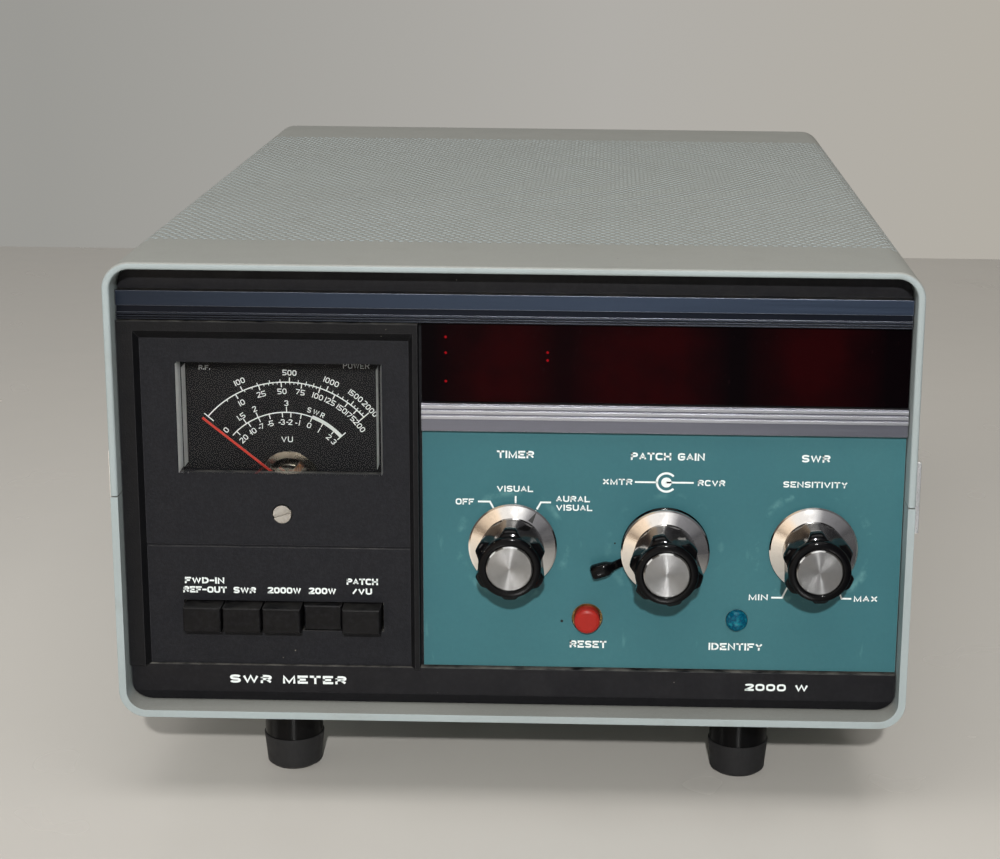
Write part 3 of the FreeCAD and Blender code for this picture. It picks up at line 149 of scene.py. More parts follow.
class Finish(Wiring):
    """A Principled material with its patterns in millimetres."""

    def __init__(self, name, color, rough, metal=0.0, **more):
        self.material = bpy.data.materials.new(name)
        self.material.use_nodes = True
        super().__init__(self.material.node_tree)
        self.surface = self.tree.nodes["Principled BSDF"]
        self.output = self.tree.nodes["Material Output"]
        self.put("Base Color", (*color, 1.0))
        self.put("Roughness", rough)
        self.put("Metallic", metal)
        for key, value in more.items():
            self.put(key.replace("_", " "), value)
        self.color = (*color, 1.0)
        coords = self.node("TexCoord")
        self.mm = self.node("VectorMath", operation="SCALE", Vector=coords.outputs["Object"],
                            Scale=1 / MM).outputs["Vector"]
        self.normal = coords.outputs["Normal"]

    def put(self, key, value, node=None):
        super().put(key, value, node or self.surface)

    def along(self, axis, of=None):
        """The position along an axis of the frame in millimetres, or another vector's share of it."""
        return self.node("SeparateXYZ", Vector=of or self.mm).outputs[axis]

    def behind(self, y, edge=0.1):
        """1 behind that depth in the cabinet, and 0 in front of it."""
        line = place(0, y, 0).y / MM
        return self.remap(self.along("Y"), line - edge, line + edge)

    def away(self, node, x, z):
        """How far a point is from the spot at X and Z on a node's front, in millimetres."""
        made = self.node("VectorMath", operation="DISTANCE", Vector=self.mm)
        made.inputs[1].default_value = [c / MM for c in place(x, back_of(node), z)]
        return made.outputs["Value"]

    def noise(self, size, detail=2.0, stretch=(1.0, 1.0, 1.0), shift=0.0):
        """Noise from 0 to 1 with features of about size millimetres, longer along the stretched axes."""
        scaled = self.node("VectorMath", operation="MULTIPLY_ADD", Vector=self.mm)
        scaled.inputs[1].default_value = [1 / (size * k) for k in stretch]
        scaled.inputs[2].default_value = (shift, shift, shift)
        return self.node("TexNoise", Vector=scaled.outputs[0], Scale=1.0, Detail=detail,
                         Roughness=0.55).outputs["Fac"]

    def cells(self, size, feature="F1"):
        """Distances in a pattern of cells of about size millimetres."""
        made = self.node("TexVoronoi", feature=feature, Vector=self.mm, Scale=1 / size)
        return made.outputs["Distance"]

    def tint(self, factor, color):
        """Mixes a colour over what there is so far."""
        links = self.surface.inputs["Base Color"].links
        under = links[0].from_socket if links else self.color
        over = color if isinstance(color, bpy.types.NodeSocket) else (*color, 1.0)
        self.put("Base Color", self.mix(factor, under, over))

    def stain(self, color, amount, low, high, *noise, **more):
        """Mixes in as much as that amount of a colour where a noise goes from low to high."""
        self.tint(self.remap(self.noise(*noise, **more), low, high, 0.0, amount), color)

    def roughen(self, value, low, high):
        """A roughness between low and high that follows a noise."""
        self.put("Roughness", self.remap(value, 0.3, 0.7, low, high))

    def bump(self, height, depth, soft=0.0):
        """Bumps of depth millimetres, over rounded edges of radius soft millimetres."""
        made = self.node("Bump", Height=height, Strength=1.0, Distance=depth * MM)
        links = self.surface.inputs["Normal"].links
        if links:
            self.put("Normal", links[0].from_socket, made)
        elif soft:
            self.put("Normal", self.rounded(soft), made)
        self.put("Normal", made.outputs["Normal"])

    def rounded(self, radius):
        """The normal, with edges rounded to radius millimetres."""
        return self.node("Bevel", samples=4, Radius=radius * MM).outputs["Normal"]

    def bending(self, radius):
        """1 where the surface is flat, and less within radius millimetres of an edge."""
        dot = self.node("VectorMath", operation="DOT_PRODUCT")
        normals = (self.rounded(radius), self.node("NewGeometry").outputs["Normal"])
        return self.filled(dot, (0, 1), normals).outputs["Value"]

    def wear(self, radius, amount, color):
        """Another colour on the edges, broken up by noise."""
        edge = self.remap(self.bending(radius), 0.985, 0.80)
        patch = self.remap(self.noise(3.0, 4.0), 0.45, 0.7)
        self.tint(self.math("MULTIPLY", self.math("MULTIPLY", edge, patch, True), amount, True), color)

    def edges(self, radius, amount, color):
        """A painted highlight all along the edges, where light would catch them."""
        self.tint(self.remap(self.bending(radius), 0.99, 0.85, 0.0, amount), color)

    def facing_up(self, low=0.5, high=0.95):
        """1 where the surface looks up and 0 where it looks sideways or down."""
        return self.remap(self.along("Z", self.normal), low, high)

    def dust(self, amount, color=(0.30, 0.29, 0.26), everywhere=0.0):
        """Dust on faces that look up, and a little everywhere."""
        patch = self.remap(self.noise(6.0, 5.0, shift=7.0), 0.35, 0.7)
        reach = self.math("ADD", self.math("MULTIPLY", self.facing_up(), amount), everywhere, True)
        self.tint(self.math("MULTIPLY", reach, patch, True), color)

    def specks(self, size, share, color):
        """Small grains of another colour. share is how much of each cell's radius they fill."""
        dots = self.remap(self.cells(size), share, share * 0.6)
        gate = self.remap(self.noise(size * 3, 2.0, shift=3.0), 0.55, 0.62)
        self.tint(self.math("MULTIPLY", dots, gate, True), color)


def cabinet_paint(name):
    """Pale grey-green enamel with a fine wrinkle and stains, and painted highlights on its edges. Faces
    that look up are darker and browner, partly dust and partly painted shade.
    """
    f = Finish(name, (0.322, 0.380, 0.392), 0.5)
    # Faces that look up get darker and browner: partly dust, partly painted shade for the weaker light on
    # the top.
    f.tint(f.math("MULTIPLY", f.facing_up(0.1, 0.6), 0.95, True), (0.264, 0.266, 0.245))
    f.stain((0.23, 0.24, 0.225), 0.3, 0.35, 0.75, 60, 3.0)
    f.stain((0.195, 0.19, 0.165), 0.3, 0.58, 0.8, 14, 5.0, shift=11.0)
    f.stain((0.42, 0.45, 0.44), 0.12, 0.3, 0.7, 0.8, 2.0)
    f.edges(0.7, 0.12, (0.50, 0.59, 0.62))
    f.specks(9.0, 0.035, (0.05, 0.045, 0.04))
    f.roughen(f.noise(20, 3.0), 0.5, 0.58)
    f.bump(f.noise(0.55, 3.0), 0.045, soft=0.35)
    f.bump(f.noise(14, 2.0), 0.012)
    return f


def textured_black(name):
    """Black moulding with a fine grain, dusty, and with painted grey highlights on its edges."""
    f = Finish(name, (0.0085, 0.009, 0.0115), 0.5, Specular_IOR_Level=0.13)
    f.stain((0.019, 0.020, 0.025), 0.5, 0.4, 0.75, 0.9, 4.0)
    border = f.behind(back_of("meter_bezel") + FIELD_DEEP - 0.2)
    f.tint(f.remap(border, 1.0, 0.0, 0.0, 0.75), (0.003, 0.003, 0.0035))
    f.edges(0.35, 0.5, (0.075, 0.075, 0.08))
    f.dust(0.35, everywhere=0.006)
    f.specks(5.0, 0.06, (0.16, 0.15, 0.13))
    f.roughen(f.noise(9, 3.0), 0.42, 0.62)
    f.bump(f.cells(0.55), 0.05, soft=0.3)
    f.bump(f.noise(1.6, 3.0), 0.05)
    return f


def satin_black(name, color=(0.0075, 0.0075, 0.0092), rough=0.42, dust=0.6):
    """Satin black paint or plastic, with painted grey highlights on its edges and dust where it looks up.
    """
    f = Finish(name, color, rough, Specular_IOR_Level=0.13)
    f.stain((0.016, 0.016, 0.019), 0.5, 0.45, 0.8, 1.5, 4.0)
    f.edges(0.3, 0.5, (0.07, 0.07, 0.075))
    f.dust(dust, everywhere=0.008)
    f.specks(4.0, 0.05, (0.2, 0.19, 0.17))
    f.roughen(f.noise(12, 3.0), rough - 0.06, rough + 0.12)
    f.bump(f.noise(0.35, 2.0), 0.012, soft=0.25)
    return f


def gloss_black(name, rough=0.08):
    """Polished black phenolic with hair scratches and grains of dust."""
    f = Finish(name, (0.0016, 0.0016, 0.002), rough, Specular_IOR_Level=0.12)
    f.stain((0.006, 0.006, 0.006), 0.4, 0.55, 0.85, 2.2, 5.0)
    f.specks(2.6, 0.06, (0.25, 0.23, 0.2))
    f.roughen(f.noise(1.5, 4.0), rough - 0.03, rough + 0.06)
    f.bump(f.noise(2.8, 2.0), 0.010, soft=0.3)
    return f


def brushed(name, color, rough, along=(40.0, 0.3, 0.3), depth=0.012, metal=1.0, wear=(0.8, 0.8, 0.8)):
    """Metal or anodising, brushed along the stretched axis."""
    f = Finish(name, color, rough, metal)
    grain = f.noise(0.5, 3.0, along)
    f.tint(f.remap(grain, 0.3, 0.7, 0.0, 0.35), [min(1.0, c * 1.5) for c in color])
    f.stain([c * 0.6 for c in color], 0.4, 0.5, 0.8, 11, 4.0)
    f.wear(0.3, 0.6, wear)
    f.roughen(f.noise(0.7, 3.0, along, 5.0), rough - 0.08, rough + 0.1)
    f.bump(grain, depth, soft=0.2)
    return f


def rail(name, color, low_y, low_color, high_color, edge_wear_and_highlight, darker_below=None):
    """An extrusion with its grain along X. Faces behind low_y take low_color, painted shade in the dark
    rail's grooves, and the ribs in front take high_color, a painted highlight on the silver rail. Its
    edges get a painted highlight, and one that is darker below a height is darker to the left too."""
    f = brushed(name, color, 0.36, (60.0, 0.4, 0.4), 0.004, 0.9, edge_wear_and_highlight)
    deep = f.behind(low_y)
    # The ribs in front take high_color, a painted highlight on the silver rail, and faces behind take
    # low_color, painted shade in the dark rail's grooves.
    f.tint(f.remap(deep, 1.0, 0.0, 0.0, 0.8), high_color)
    f.tint(f.math("MULTIPLY", deep, 0.9), low_color)
    if darker_below:
        line = place(0, 0, darker_below).z / MM
        f.edges(0.35, 0.9, edge_wear_and_highlight)
        f.tint(f.remap(f.along("Z"), line + 0.05, line - 0.05, 0.0, 0.72), low_color)
        f.tint(f.remap(f.along("X"), 30.0, -125.0, 0.0, 0.6), low_color)
    else:
        f.edges(0.25, 0.7, edge_wear_and_highlight)
    f.dust(0.9, (0.10, 0.085, 0.065))
    return f


def turned(name, color, rough, spin=0.75, node=None):
    """Metal turned on a lathe: its grain runs round the Y axis. With a node it has fine rings round
    that node's middle."""
    f = Finish(name, color, rough, 1.0, Anisotropic=spin, Anisotropic_Rotation=0.25)
    tangent = f.node("Tangent", direction_type="RADIAL", axis="Y")
    f.put("Tangent", tangent.outputs[0])
    f.stain([c * 0.6 for c in color], 0.25, 0.5, 0.8, 1.4, 4.0)
    f.roughen(f.noise(3.0, 4.0), rough - 0.03, rough + 0.04)
    if node:
        x, z = middle(node)
        centre = place(x, 0, z)
        offset = f.node("VectorMath", operation="SUBTRACT", Vector=f.mm)
        offset.inputs[1].default_value = [c / MM for c in centre]
        flat = f.node("VectorMath", operation="MULTIPLY", Vector=offset.outputs[0])
        flat.inputs[1].default_value = (1.0, 0.0, 1.0)
        length = f.node("VectorMath", operation="LENGTH", Vector=flat.outputs[0])
        radius = length.outputs["Value"]
        groove = f.math("SINE", f.math("MULTIPLY", radius, 2 * math.pi / TURNED_PITCH))
        f.bump(groove, TURNED_DEPTH)
    f.bump(f.noise(6.0, 2.0), 0.002)
    return f


def plated(name, color, rough=0.3):
    """Plated or tinned metal, cloudy and brighter on its edges."""
    f = Finish(name, color, rough, 1.0)
    f.stain([c * 0.55 for c in color], 0.5, 0.45, 0.75, 3.0, 5.0)
    f.wear(0.3, 0.5, (0.85, 0.85, 0.82))
    f.roughen(f.noise(5.0, 4.0), rough - 0.1, rough + 0.15)
    f.bump(f.noise(0.6, 3.0), 0.012, soft=0.15)
    return f


def teal_enamel(name):
    """Satin teal panel paint, with light rubs round the controls where fingers turn the knobs, and painted
    highlights on its edges.
    """
    f = Finish(name, (0.037, 0.134, 0.158), 0.45, Specular_IOR_Level=0.2)
    f.stain((0.052, 0.164, 0.179), 0.45, 0.3, 0.7, 45, 3.0)
    f.stain((0.030, 0.109, 0.127), 0.22, 0.3, 0.7, 1.2, 4.0)
    for node, size, ring in RUBS:
        band = f.math("ABSOLUTE", f.math("SUBTRACT", f.away("control_panel", *middle(node)), size))
        near = f.remap(band, 1.7, 0.3)
        patch = f.remap(f.noise(5.0, 4.0, shift=size), 0.5, 0.68)
        f.tint(f.math("MULTIPLY", f.math("MULTIPLY", near, patch, True), ring, True), (0.16, 0.36, 0.36))
    f.stain((0.12, 0.29, 0.30), 0.3, 0.66, 0.74, 7.0, 6.0, (0.6, 1.0, 2.4), 21.0)
    f.tint(f.remap(f.away("control_panel", *CHIP), 0.55, 0.4), (0.006, 0.007, 0.007))
    f.edges(0.25, 0.8, (0.26, 0.33, 0.33))
    f.specks(11.0, 0.035, (0.01, 0.012, 0.012))
    f.roughen(f.noise(6.0, 4.0), 0.36, 0.52)
    f.bump(f.noise(0.7, 3.0), 0.012, soft=0.2)
    return f


def silk_white(name, color=(0.82, 0.88, 0.87)):
    """White screen ink, a little uneven."""
    f = Finish(name, color, 0.5)
    f.stain([c * 0.75 for c in color], 0.3, 0.4, 0.8, 0.5, 3.0)
    f.roughen(f.noise(1.0, 2.0), 0.42, 0.6)
    f.bump(f.noise(0.25, 2.0), 0.006)
    return f


def pointer_ink():
    """Black ink, rubbed grey in places."""
    f = Finish("pointer_ink", (0.006, 0.006, 0.006), 0.3)
    f.stain((0.03, 0.03, 0.03), 0.5, 0.5, 0.8, 0.6, 3.0)
    f.bump(f.noise(0.3, 2.0), 0.005)
    return f


def plastic(name, color, rough, bump=0.02, size=1.0, dark=0.6, shine=0.3):
    """Moulded plastic or paint with a grain of that size, darker in patches and paler on its edges."""
    f = Finish(name, color, rough, Specular_IOR_Level=shine)
    f.stain([c * dark for c in color], 0.5, 0.45, 0.8, size * 3, 4.0)
    f.wear(0.3, 0.4, [min(1.0, c * 1.8 + 0.03) for c in color])
    f.roughen(f.noise(size * 4, 3.0), rough - 0.08, rough + 0.1)
    f.bump(f.noise(size, 3.0), bump, soft=0.2)
    return f


def see_through(name, tint, haze, haze_and_sheen_color=(0.8, 0.82, 0.82), side_sheen=0.0, mirror=1.0):
    """Clear plastic: it lets light through with a tint, mirrors at a slant, and has dusty haze.
    Its walls that face left and right also get a painted pale sheen, standing in for light carried
    along the acrylic; the argument before mirror says how much, and mirror how strong its reflections are."""
    f = Finish(name, haze_and_sheen_color, 0.4)
    clear = f.node("BsdfTransparent", Color=(*tint, 1.0))
    rough = f.remap(f.noise(4.0, 4.0), 0.3, 0.7, 0.02, 0.07)
    shine = f.node("BsdfGlossy", Color=(1, 1, 1, 1), Roughness=rough)
    bump = f.node("Bump", Height=f.noise(9.0, 2.0), Distance=0.01 * MM)
    f.put("Normal", bump.outputs[0], shine)
    fresnel = f.math("MULTIPLY", f.node("Fresnel", IOR=ACRYLIC_IOR).outputs[0], mirror, True)
    cloud = f.math("MULTIPLY", f.remap(f.noise(5.0, 5.0), 0.35, 0.7), haze, True)
    # Walls that face left and right get a painted pale sheen, standing in for light carried along them.
    slant = f.math("ABSOLUTE", f.along("X", f.normal))
    side = f.math("MULTIPLY", f.remap(slant, 0.7, 0.9), side_sheen, True)
    whole = clear
    for share, over in ((fresnel, shine), (f.math("MAXIMUM", cloud, side), f.surface)):
        mixed = (share, whole.outputs[0], over.outputs[0])
        whole = f.filled(f.node("MixShader"), (0, 1, 2), mixed)
    f.put("Surface", whole.outputs[0], f.output)
    return f


def jewel_blue(name):
    """A moulded blue lens with the facets inside it showing as darker cells."""
    f = Finish(name, (0.001, 0.080, 0.130), 0.16, Specular_IOR_Level=0.15)
    f.tint(f.remap(f.cells(1.3, "DISTANCE_TO_EDGE"), 0.22, 0.02, 0.0, 0.8), (0.001, 0.038, 0.080))
    f.stain((0.006, 0.17, 0.22), 0.8, 0.5, 0.7, 1.6, 2.0)
    f.bump(f.cells(1.3), 0.03, soft=0.1)
    return f


def smoked_red(name):
    """Dark red acrylic: nearly opaque, with redder patches painted where the digits behind it catch light,
    and painted red glints.
    """
    f = Finish(name, (0.0018, 0.0007, 0.0012), 0.06, Specular_IOR_Level=0.02)
    cloud = f.remap(f.noise(16, 2.0, shift=4.0), 0.25, 0.6, 0.4, 1.0)
    for x, half in GLOWS:
        off = f.math("ABSOLUTE", f.math("SUBTRACT", f.along("X"), x))
        near = f.remap(off, half + GLOW_BLUR, half - GLOW_BLUR)
        f.tint(f.math("MULTIPLY", near, cloud), (0.0125, 0.0008, 0.0013))
    f.stain((0.02, 0.008, 0.010), 0.3, 0.66, 0.8, 2.6, 4.0, (0.5, 1.0, 1.0), 9.0)
    for x, z in GLINTS:
        f.tint(f.remap(f.away("display_window", x, z), 0.55, 0.15), (0.30, 0.004, 0.008))
    f.roughen(f.noise(6.0, 4.0), 0.04, 0.12)
    f.bump(f.noise(16.0, 2.0), 0.02, soft=0.15)
    return f


def laminated(name):
    """A stack of thin steel sheets, rusty in places."""
    f = Finish(name, (0.05, 0.045, 0.04), 0.45, 0.4)
    f.stain((0.14, 0.12, 0.09), 0.8, 0.4, 0.6, 0.6, 2.0, (60, 60, 1))
    f.stain((0.1, 0.05, 0.02), 0.5, 0.5, 0.8, 8.0, 4.0)
    f.bump(f.noise(0.6, 2.0, (60, 60, 1)), 0.1, soft=0.3)
    return f


def board_green(name):
    """A green circuit board with its tracks and solder joints."""
    f = Finish(name, (0.03, 0.11, 0.045), 0.4)
    tracks = f.remap(f.cells(4.5, "DISTANCE_TO_EDGE"), 0.10, 0.06)
    f.tint(tracks, (0.06, 0.2, 0.07))
    f.tint(f.remap(f.cells(3.0), 0.14, 0.10), (0.6, 0.58, 0.5))
    f.roughen(f.noise(5.0, 3.0), 0.3, 0.5)
    f.bump(tracks, 0.03, soft=0.1)
    return f


# The finish of each slot: how it is made, and what its maker needs after its name.
LOOKS = {
    "cabinet_paint": (cabinet_paint,),
    "bright_strip": (brushed, (0.72, 0.73, 0.74), 0.3, (0.3, 60.0, 0.3)),
    "screw_steel": (plated, (0.40, 0.39, 0.37), 0.28),
    "black_post": (gloss_black, 0.16),
    "foot_rubber": (plastic, (0.014, 0.014, 0.015), 0.62, 0.05, 0.9, 0.5),
    "plated_steel": (plated, (0.5, 0.48, 0.42), 0.36),
    "black_panel": (satin_black,),
    # The dark rail's low colour paints shade into its grooves, and the silver rail's high colour paints a
    # highlight on its ribs.
    "dark_rail": (rail, (0.036, 0.051, 0.082), back_of("top_trim_rail") + 0.5, (0.005, 0.006, 0.010),
                  (0.036, 0.051, 0.082), (0.34, 0.37, 0.44), RIB_LOW),
    "silver_rail": (rail, (0.118, 0.121, 0.147), back_of("middle_trim_rail") + 0.35, (0.145, 0.150, 0.180),
                    (0.40, 0.41, 0.44), (0.62, 0.62, 0.67)),
    "teal_panel": (teal_enamel,),
    "red_window": (smoked_red,),
    "digit_module": (plastic, (0.16, 0.05, 0.05), 0.35, 0.01, 0.6),
    "circuit_board": (board_green,),
    "black_moulding": (textured_black,),
    # The clear cover's walls that face left and right get a strong painted pale sheen.
    "clear_cover": (see_through, (0.96, 0.965, 0.965), 0.001, (0.95, 0.97, 0.97), 0.9, 0.12),
    "dial_black": (plastic, (0.0045, 0.0045, 0.006), 0.5, 0.001, 0.8, 0.6, 0.1),
    "core_iron": (plated, (0.42, 0.37, 0.30), 0.18),
    "needle_red": (plastic, (0.52, 0.035, 0.02), 0.35, 0.005, 0.4, 0.8),
    "copper_wire": (brushed, (0.62, 0.27, 0.13), 0.3, (0.3, 0.3, 30.0)),
    "key_black": (satin_black, (0.0016, 0.0016, 0.0021), 0.4, 0.05),
    "knob_black": (gloss_black,),
    "shaft_metal": (turned, (0.70, 0.70, 0.69), 0.3),
    "switch_body": (plated, (0.45, 0.44, 0.42), 0.35),
    "brass": (plated, (0.16, 0.10, 0.035), 0.3),
    "reset_red": (plastic, (0.31, 0.015, 0.010), 0.4, 0.008, 0.5, 0.75, 0.2),
    "spring_steel": (plated, (0.5, 0.5, 0.5), 0.28),
    "lens_blue": (jewel_blue,),
    "lamp_glass": (see_through, (0.9, 0.88, 0.8), 0.03),
    "core_laminations": (laminated,),
    "speaker_black": (plastic, (0.03, 0.03, 0.03), 0.55, 0.04, 1.0),
    "sensor_aluminium": (brushed, (0.6, 0.6, 0.61), 0.36, (30.0, 0.3, 0.3)),
    "nickel_connector": (plated, (0.66, 0.64, 0.60), 0.22),
    "grommet_black": (plastic, (0.02, 0.02, 0.02), 0.5, 0.02, 1.0),
}
# Turned pieces have rings round their own middles: their colour, roughness and how spun they look.
RINGED = {"spun_aluminium": ((0.26, 0.26, 0.26), 0.22, 0.95),
          "polished_skirt": ((0.80, 0.78, 0.75), 0.08, 0.45)}
finishes = {slot: make(slot, *how) for slot, (make, *how) in LOOKS.items()}
for part in frame["record"]["subparts"]:
    node, kind = part["node"], part["material_slot"]
    chosen = turned(node, *RINGED[kind], node) if kind in RINGED else finishes[kind]
    for slot in frame["nodes"][node].material_slots:
        slot.material = chosen.material

# ---------------- meshes
SHARP = math.radians(32)


def added(name, data):
    """A new object in the scene."""
    made = bpy.data.objects.new(name, data)
    bpy.context.scene.collection.objects.link(made)
    return made


def tube_faces(rings, n):
    """Quads between rings of n points each, with the two ends closed."""
    faces = [(a * n + k, a * n + (k + 1) % n, (a + 1) * n + (k + 1) % n, (a + 1) * n + k)
             for a in range(rings - 1) for k in range(n)]
    last = rings * n - 1
    return faces + [tuple(range(n)), tuple(range(last, last - n, -1))]


def piece(name, points, faces, slot, body="cabinet", sharp=SHARP, finish=None):
    """A closed mesh piece that rides on a body, with its slot's finish unless it has another. Its
    points are already in the frame's metres."""
    mesh = bpy.data.meshes.new(name)
    mesh.from_pydata(points, [], faces)
    work = bmesh.new()
    work.from_mesh(mesh)
    bmesh.ops.recalc_face_normals(work, faces=work.faces)
    work.to_mesh(mesh)
    work.free()
    mesh.polygons.foreach_set("use_smooth", [True] * len(mesh.polygons))
    mesh.set_sharp_from_angle(angle=sharp)
    mesh.materials.append((finish or finishes[slot]).material)
    made = added(name, mesh)
    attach(made, body)
    return made


# The shell's upper half is one sheet bent round two corners. s runs along its outer face from the
# middle, and depth goes in from that face.
BEND_R = 9.0
SHELL_T = 1.5
HEM_T = 2.4             # the folded edge, two sheets thick
HEM_D = 12.0
LIP_R = 0.8
LIP_STEPS = 6
SEAM_Z = (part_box("top_shell")[0].z - CABINET_LOW.z) / MM
FLAT = HALF_W - BEND_R
BEND = BEND_R * math.pi / 2
SIDE = CABINET_H - BEND_R - SEAM_Z
BEND_STEPS = 14


def bent(s, y, depth):
    """The frame's point of the bent sheet."""
    reach = abs(s)
    side = math.copysign(1.0, s)
    if reach <= FLAT:
        x, z = s, CABINET_H - depth
    elif reach <= FLAT + BEND:
        turn = (reach - FLAT) / BEND_R
        x = side * (FLAT + (BEND_R - depth) * math.sin(turn))
        z = CABINET_H - BEND_R + (BEND_R - depth) * math.cos(turn)
    else:
        x, z = side * (HALF_W - depth), CABINET_H - BEND_R - (reach - FLAT - BEND)
    return place(x, y, z)


def stations(low, high):
    """Values of s from low to high, close together round the bends."""
    turns = [FLAT + BEND * k / BEND_STEPS for k in range(BEND_STEPS + 1)]
    inside = [s for s in [-t for t in turns] + turns if low < s < high]
    return sorted([low, high] + inside)


def sweep(name, profile, low, high):
    """A closed (y, depth) outline carried along the sheet from s = low to s = high."""
    line = stations(low, high)
    points = [bent(s, y, depth) for s in line for y, depth in profile]
    return piece(name, points, tube_faces(len(line), len(profile)), "cabinet_paint")


# The perforation: rows of holes across the top, each row shifted by half a pitch.
HOLE_PITCH = 3.29
ROW_PITCH = 2.85
HOLE_R = 0.92
HOLE_SIDES = 12
HALF_COLUMNS = 81
ROWS_EACH = 32
BANDS = 3
MARGIN = 43.0           # the plain border at the front
FIELD_S = HALF_COLUMNS * HOLE_PITCH / 2
FIELD_END = MARGIN + ROWS_EACH * BANDS * ROW_PITCH


def hem(front):
    """The outline of the folded edge at the front or the back, with its rounded lip."""
    turns = [math.pi / 2 * k / LIP_STEPS for k in range(LIP_STEPS + 1)]
    arc = [(LIP_R - LIP_R * math.sin(a), LIP_R - LIP_R * math.cos(a)) for a in turns]
    curve = arc + [(y, HEM_T - d) for y, d in reversed(arc)]
    border = MARGIN if front else CABINET_D - FIELD_END
    outline = [(border, 0.0)] + curve + [(HEM_D, HEM_T), (HEM_D, SHELL_T), (border, SHELL_T)]
    return outline if front else [(CABINET_D - y, d) for y, d in outline]


END_S = FLAT + BEND + SIDE
top_pieces = [
    sweep("top_shell_front", hem(True), -END_S, END_S),
    sweep("top_shell_back", hem(False), -END_S, END_S),
]
slab = [(MARGIN, 0.0), (FIELD_END, 0.0), (FIELD_END, SHELL_T), (MARGIN, SHELL_T)]
top_pieces.append(sweep("top_shell_left", slab, -END_S, -FIELD_S))
top_pieces.append(sweep("top_shell_right", slab, FIELD_S, END_S))


def bridge(outer, inner):
    """Triangles between two rings of points round one centre. outer and inner give their angles."""
    faces = []
    a = b = 0
    while a < len(outer) or b < len(inner):
        next_a = outer[(a + 1) % len(outer)] + 360 * ((a + 1) // len(outer))
        next_b = inner[(b + 1) % len(inner)] + 360 * ((b + 1) // len(inner))
        here = (("out", a % len(outer)), ("in", b % len(inner)))
        if b >= len(inner) or (a < len(outer) and next_a <= next_b):
            a += 1
            faces.append((here[0], ("out", a % len(outer)), here[1]))
        else:
            b += 1
            faces.append((here[0], ("in", b % len(inner)), here[1]))
    return faces


# Each hole sits in a brick. WEB joins the brick's six corners to the hole's rim.
CORNER = math.degrees(math.atan2(ROW_PITCH, HOLE_PITCH))
BRICK = [(0, 0), (1, 0), (2, 0), (2, 1), (1, 1), (0, 1)]
BRICK_ANGLES = [180 + CORNER, 270, 360 - CORNER, 360 + CORNER, 450, 540 - CORNER]
HOLE_ANGLES = [180 + CORNER + 360 / HOLE_SIDES * k for k in range(HOLE_SIDES)]
WEB = bridge(BRICK_ANGLES, HOLE_ANGLES)


def perforated(name, first_row):
    """A band of the top with its staggered holes, closed all round."""
    points, faces, grid = [], [], {}

    def corner(i, j, depth):
        key = (i, j, depth)
        if key not in grid:
            grid[key] = len(points)
            points.append(bent(i * HOLE_PITCH / 2, MARGIN + j * ROW_PITCH, depth))
        return grid[key]

    def wall(here, there):
        return [corner(*here, 0.0), corner(*there, 0.0), corner(*there, SHELL_T), corner(*here, SHELL_T)]

    last_row = first_row + ROWS_EACH
    for j in range(first_row, last_row):
        odd = j % 2
        for i in range(-HALF_COLUMNS + odd, HALF_COLUMNS - 1, 2):
            rings = []
            for depth in (0.0, SHELL_T):
                rings.append(len(points))
                for angle in HOLE_ANGLES:
                    s = (i + 1) * HOLE_PITCH / 2 + HOLE_R * math.cos(math.radians(angle))
                    y = MARGIN + (j + 0.5) * ROW_PITCH + HOLE_R * math.sin(math.radians(angle))
                    points.append(bent(s, y, depth))
                edge = [corner(i + di, j + dj, depth) for di, dj in BRICK]
                for face in WEB:
                    ids = [edge[k] if kind == "out" else rings[-1] + k for kind, k in face]
                    faces.append(ids if depth == 0 else ids[::-1])
            top, low = rings
            faces += [(top + k, low + k, low + (k + 1) % HOLE_SIDES, top + (k + 1) % HOLE_SIDES)
                      for k in range(HOLE_SIDES)]
        if odd:
            for i in (-HALF_COLUMNS, HALF_COLUMNS - 1):
                for depth in (0.0, SHELL_T):
                    square = ((0, 0), (1, 0), (1, 1), (0, 1))
                    faces.append([corner(i + di, j + dj, depth) for di, dj in square])
        for i in (-HALF_COLUMNS, HALF_COLUMNS):
            faces.append(wall((i, j), (i, j + 1)))
    for j in (first_row, last_row):
        for i in range(-HALF_COLUMNS, HALF_COLUMNS):
            faces.append(wall((i, j), (i + 1, j)))
    return piece(name, points, faces, "cabinet_paint")


top_pieces += [perforated("top_shell_mesh_%d" % (k + 1), k * ROWS_EACH) for k in range(BANDS)]
for made in top_pieces:
    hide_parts("top_shell")


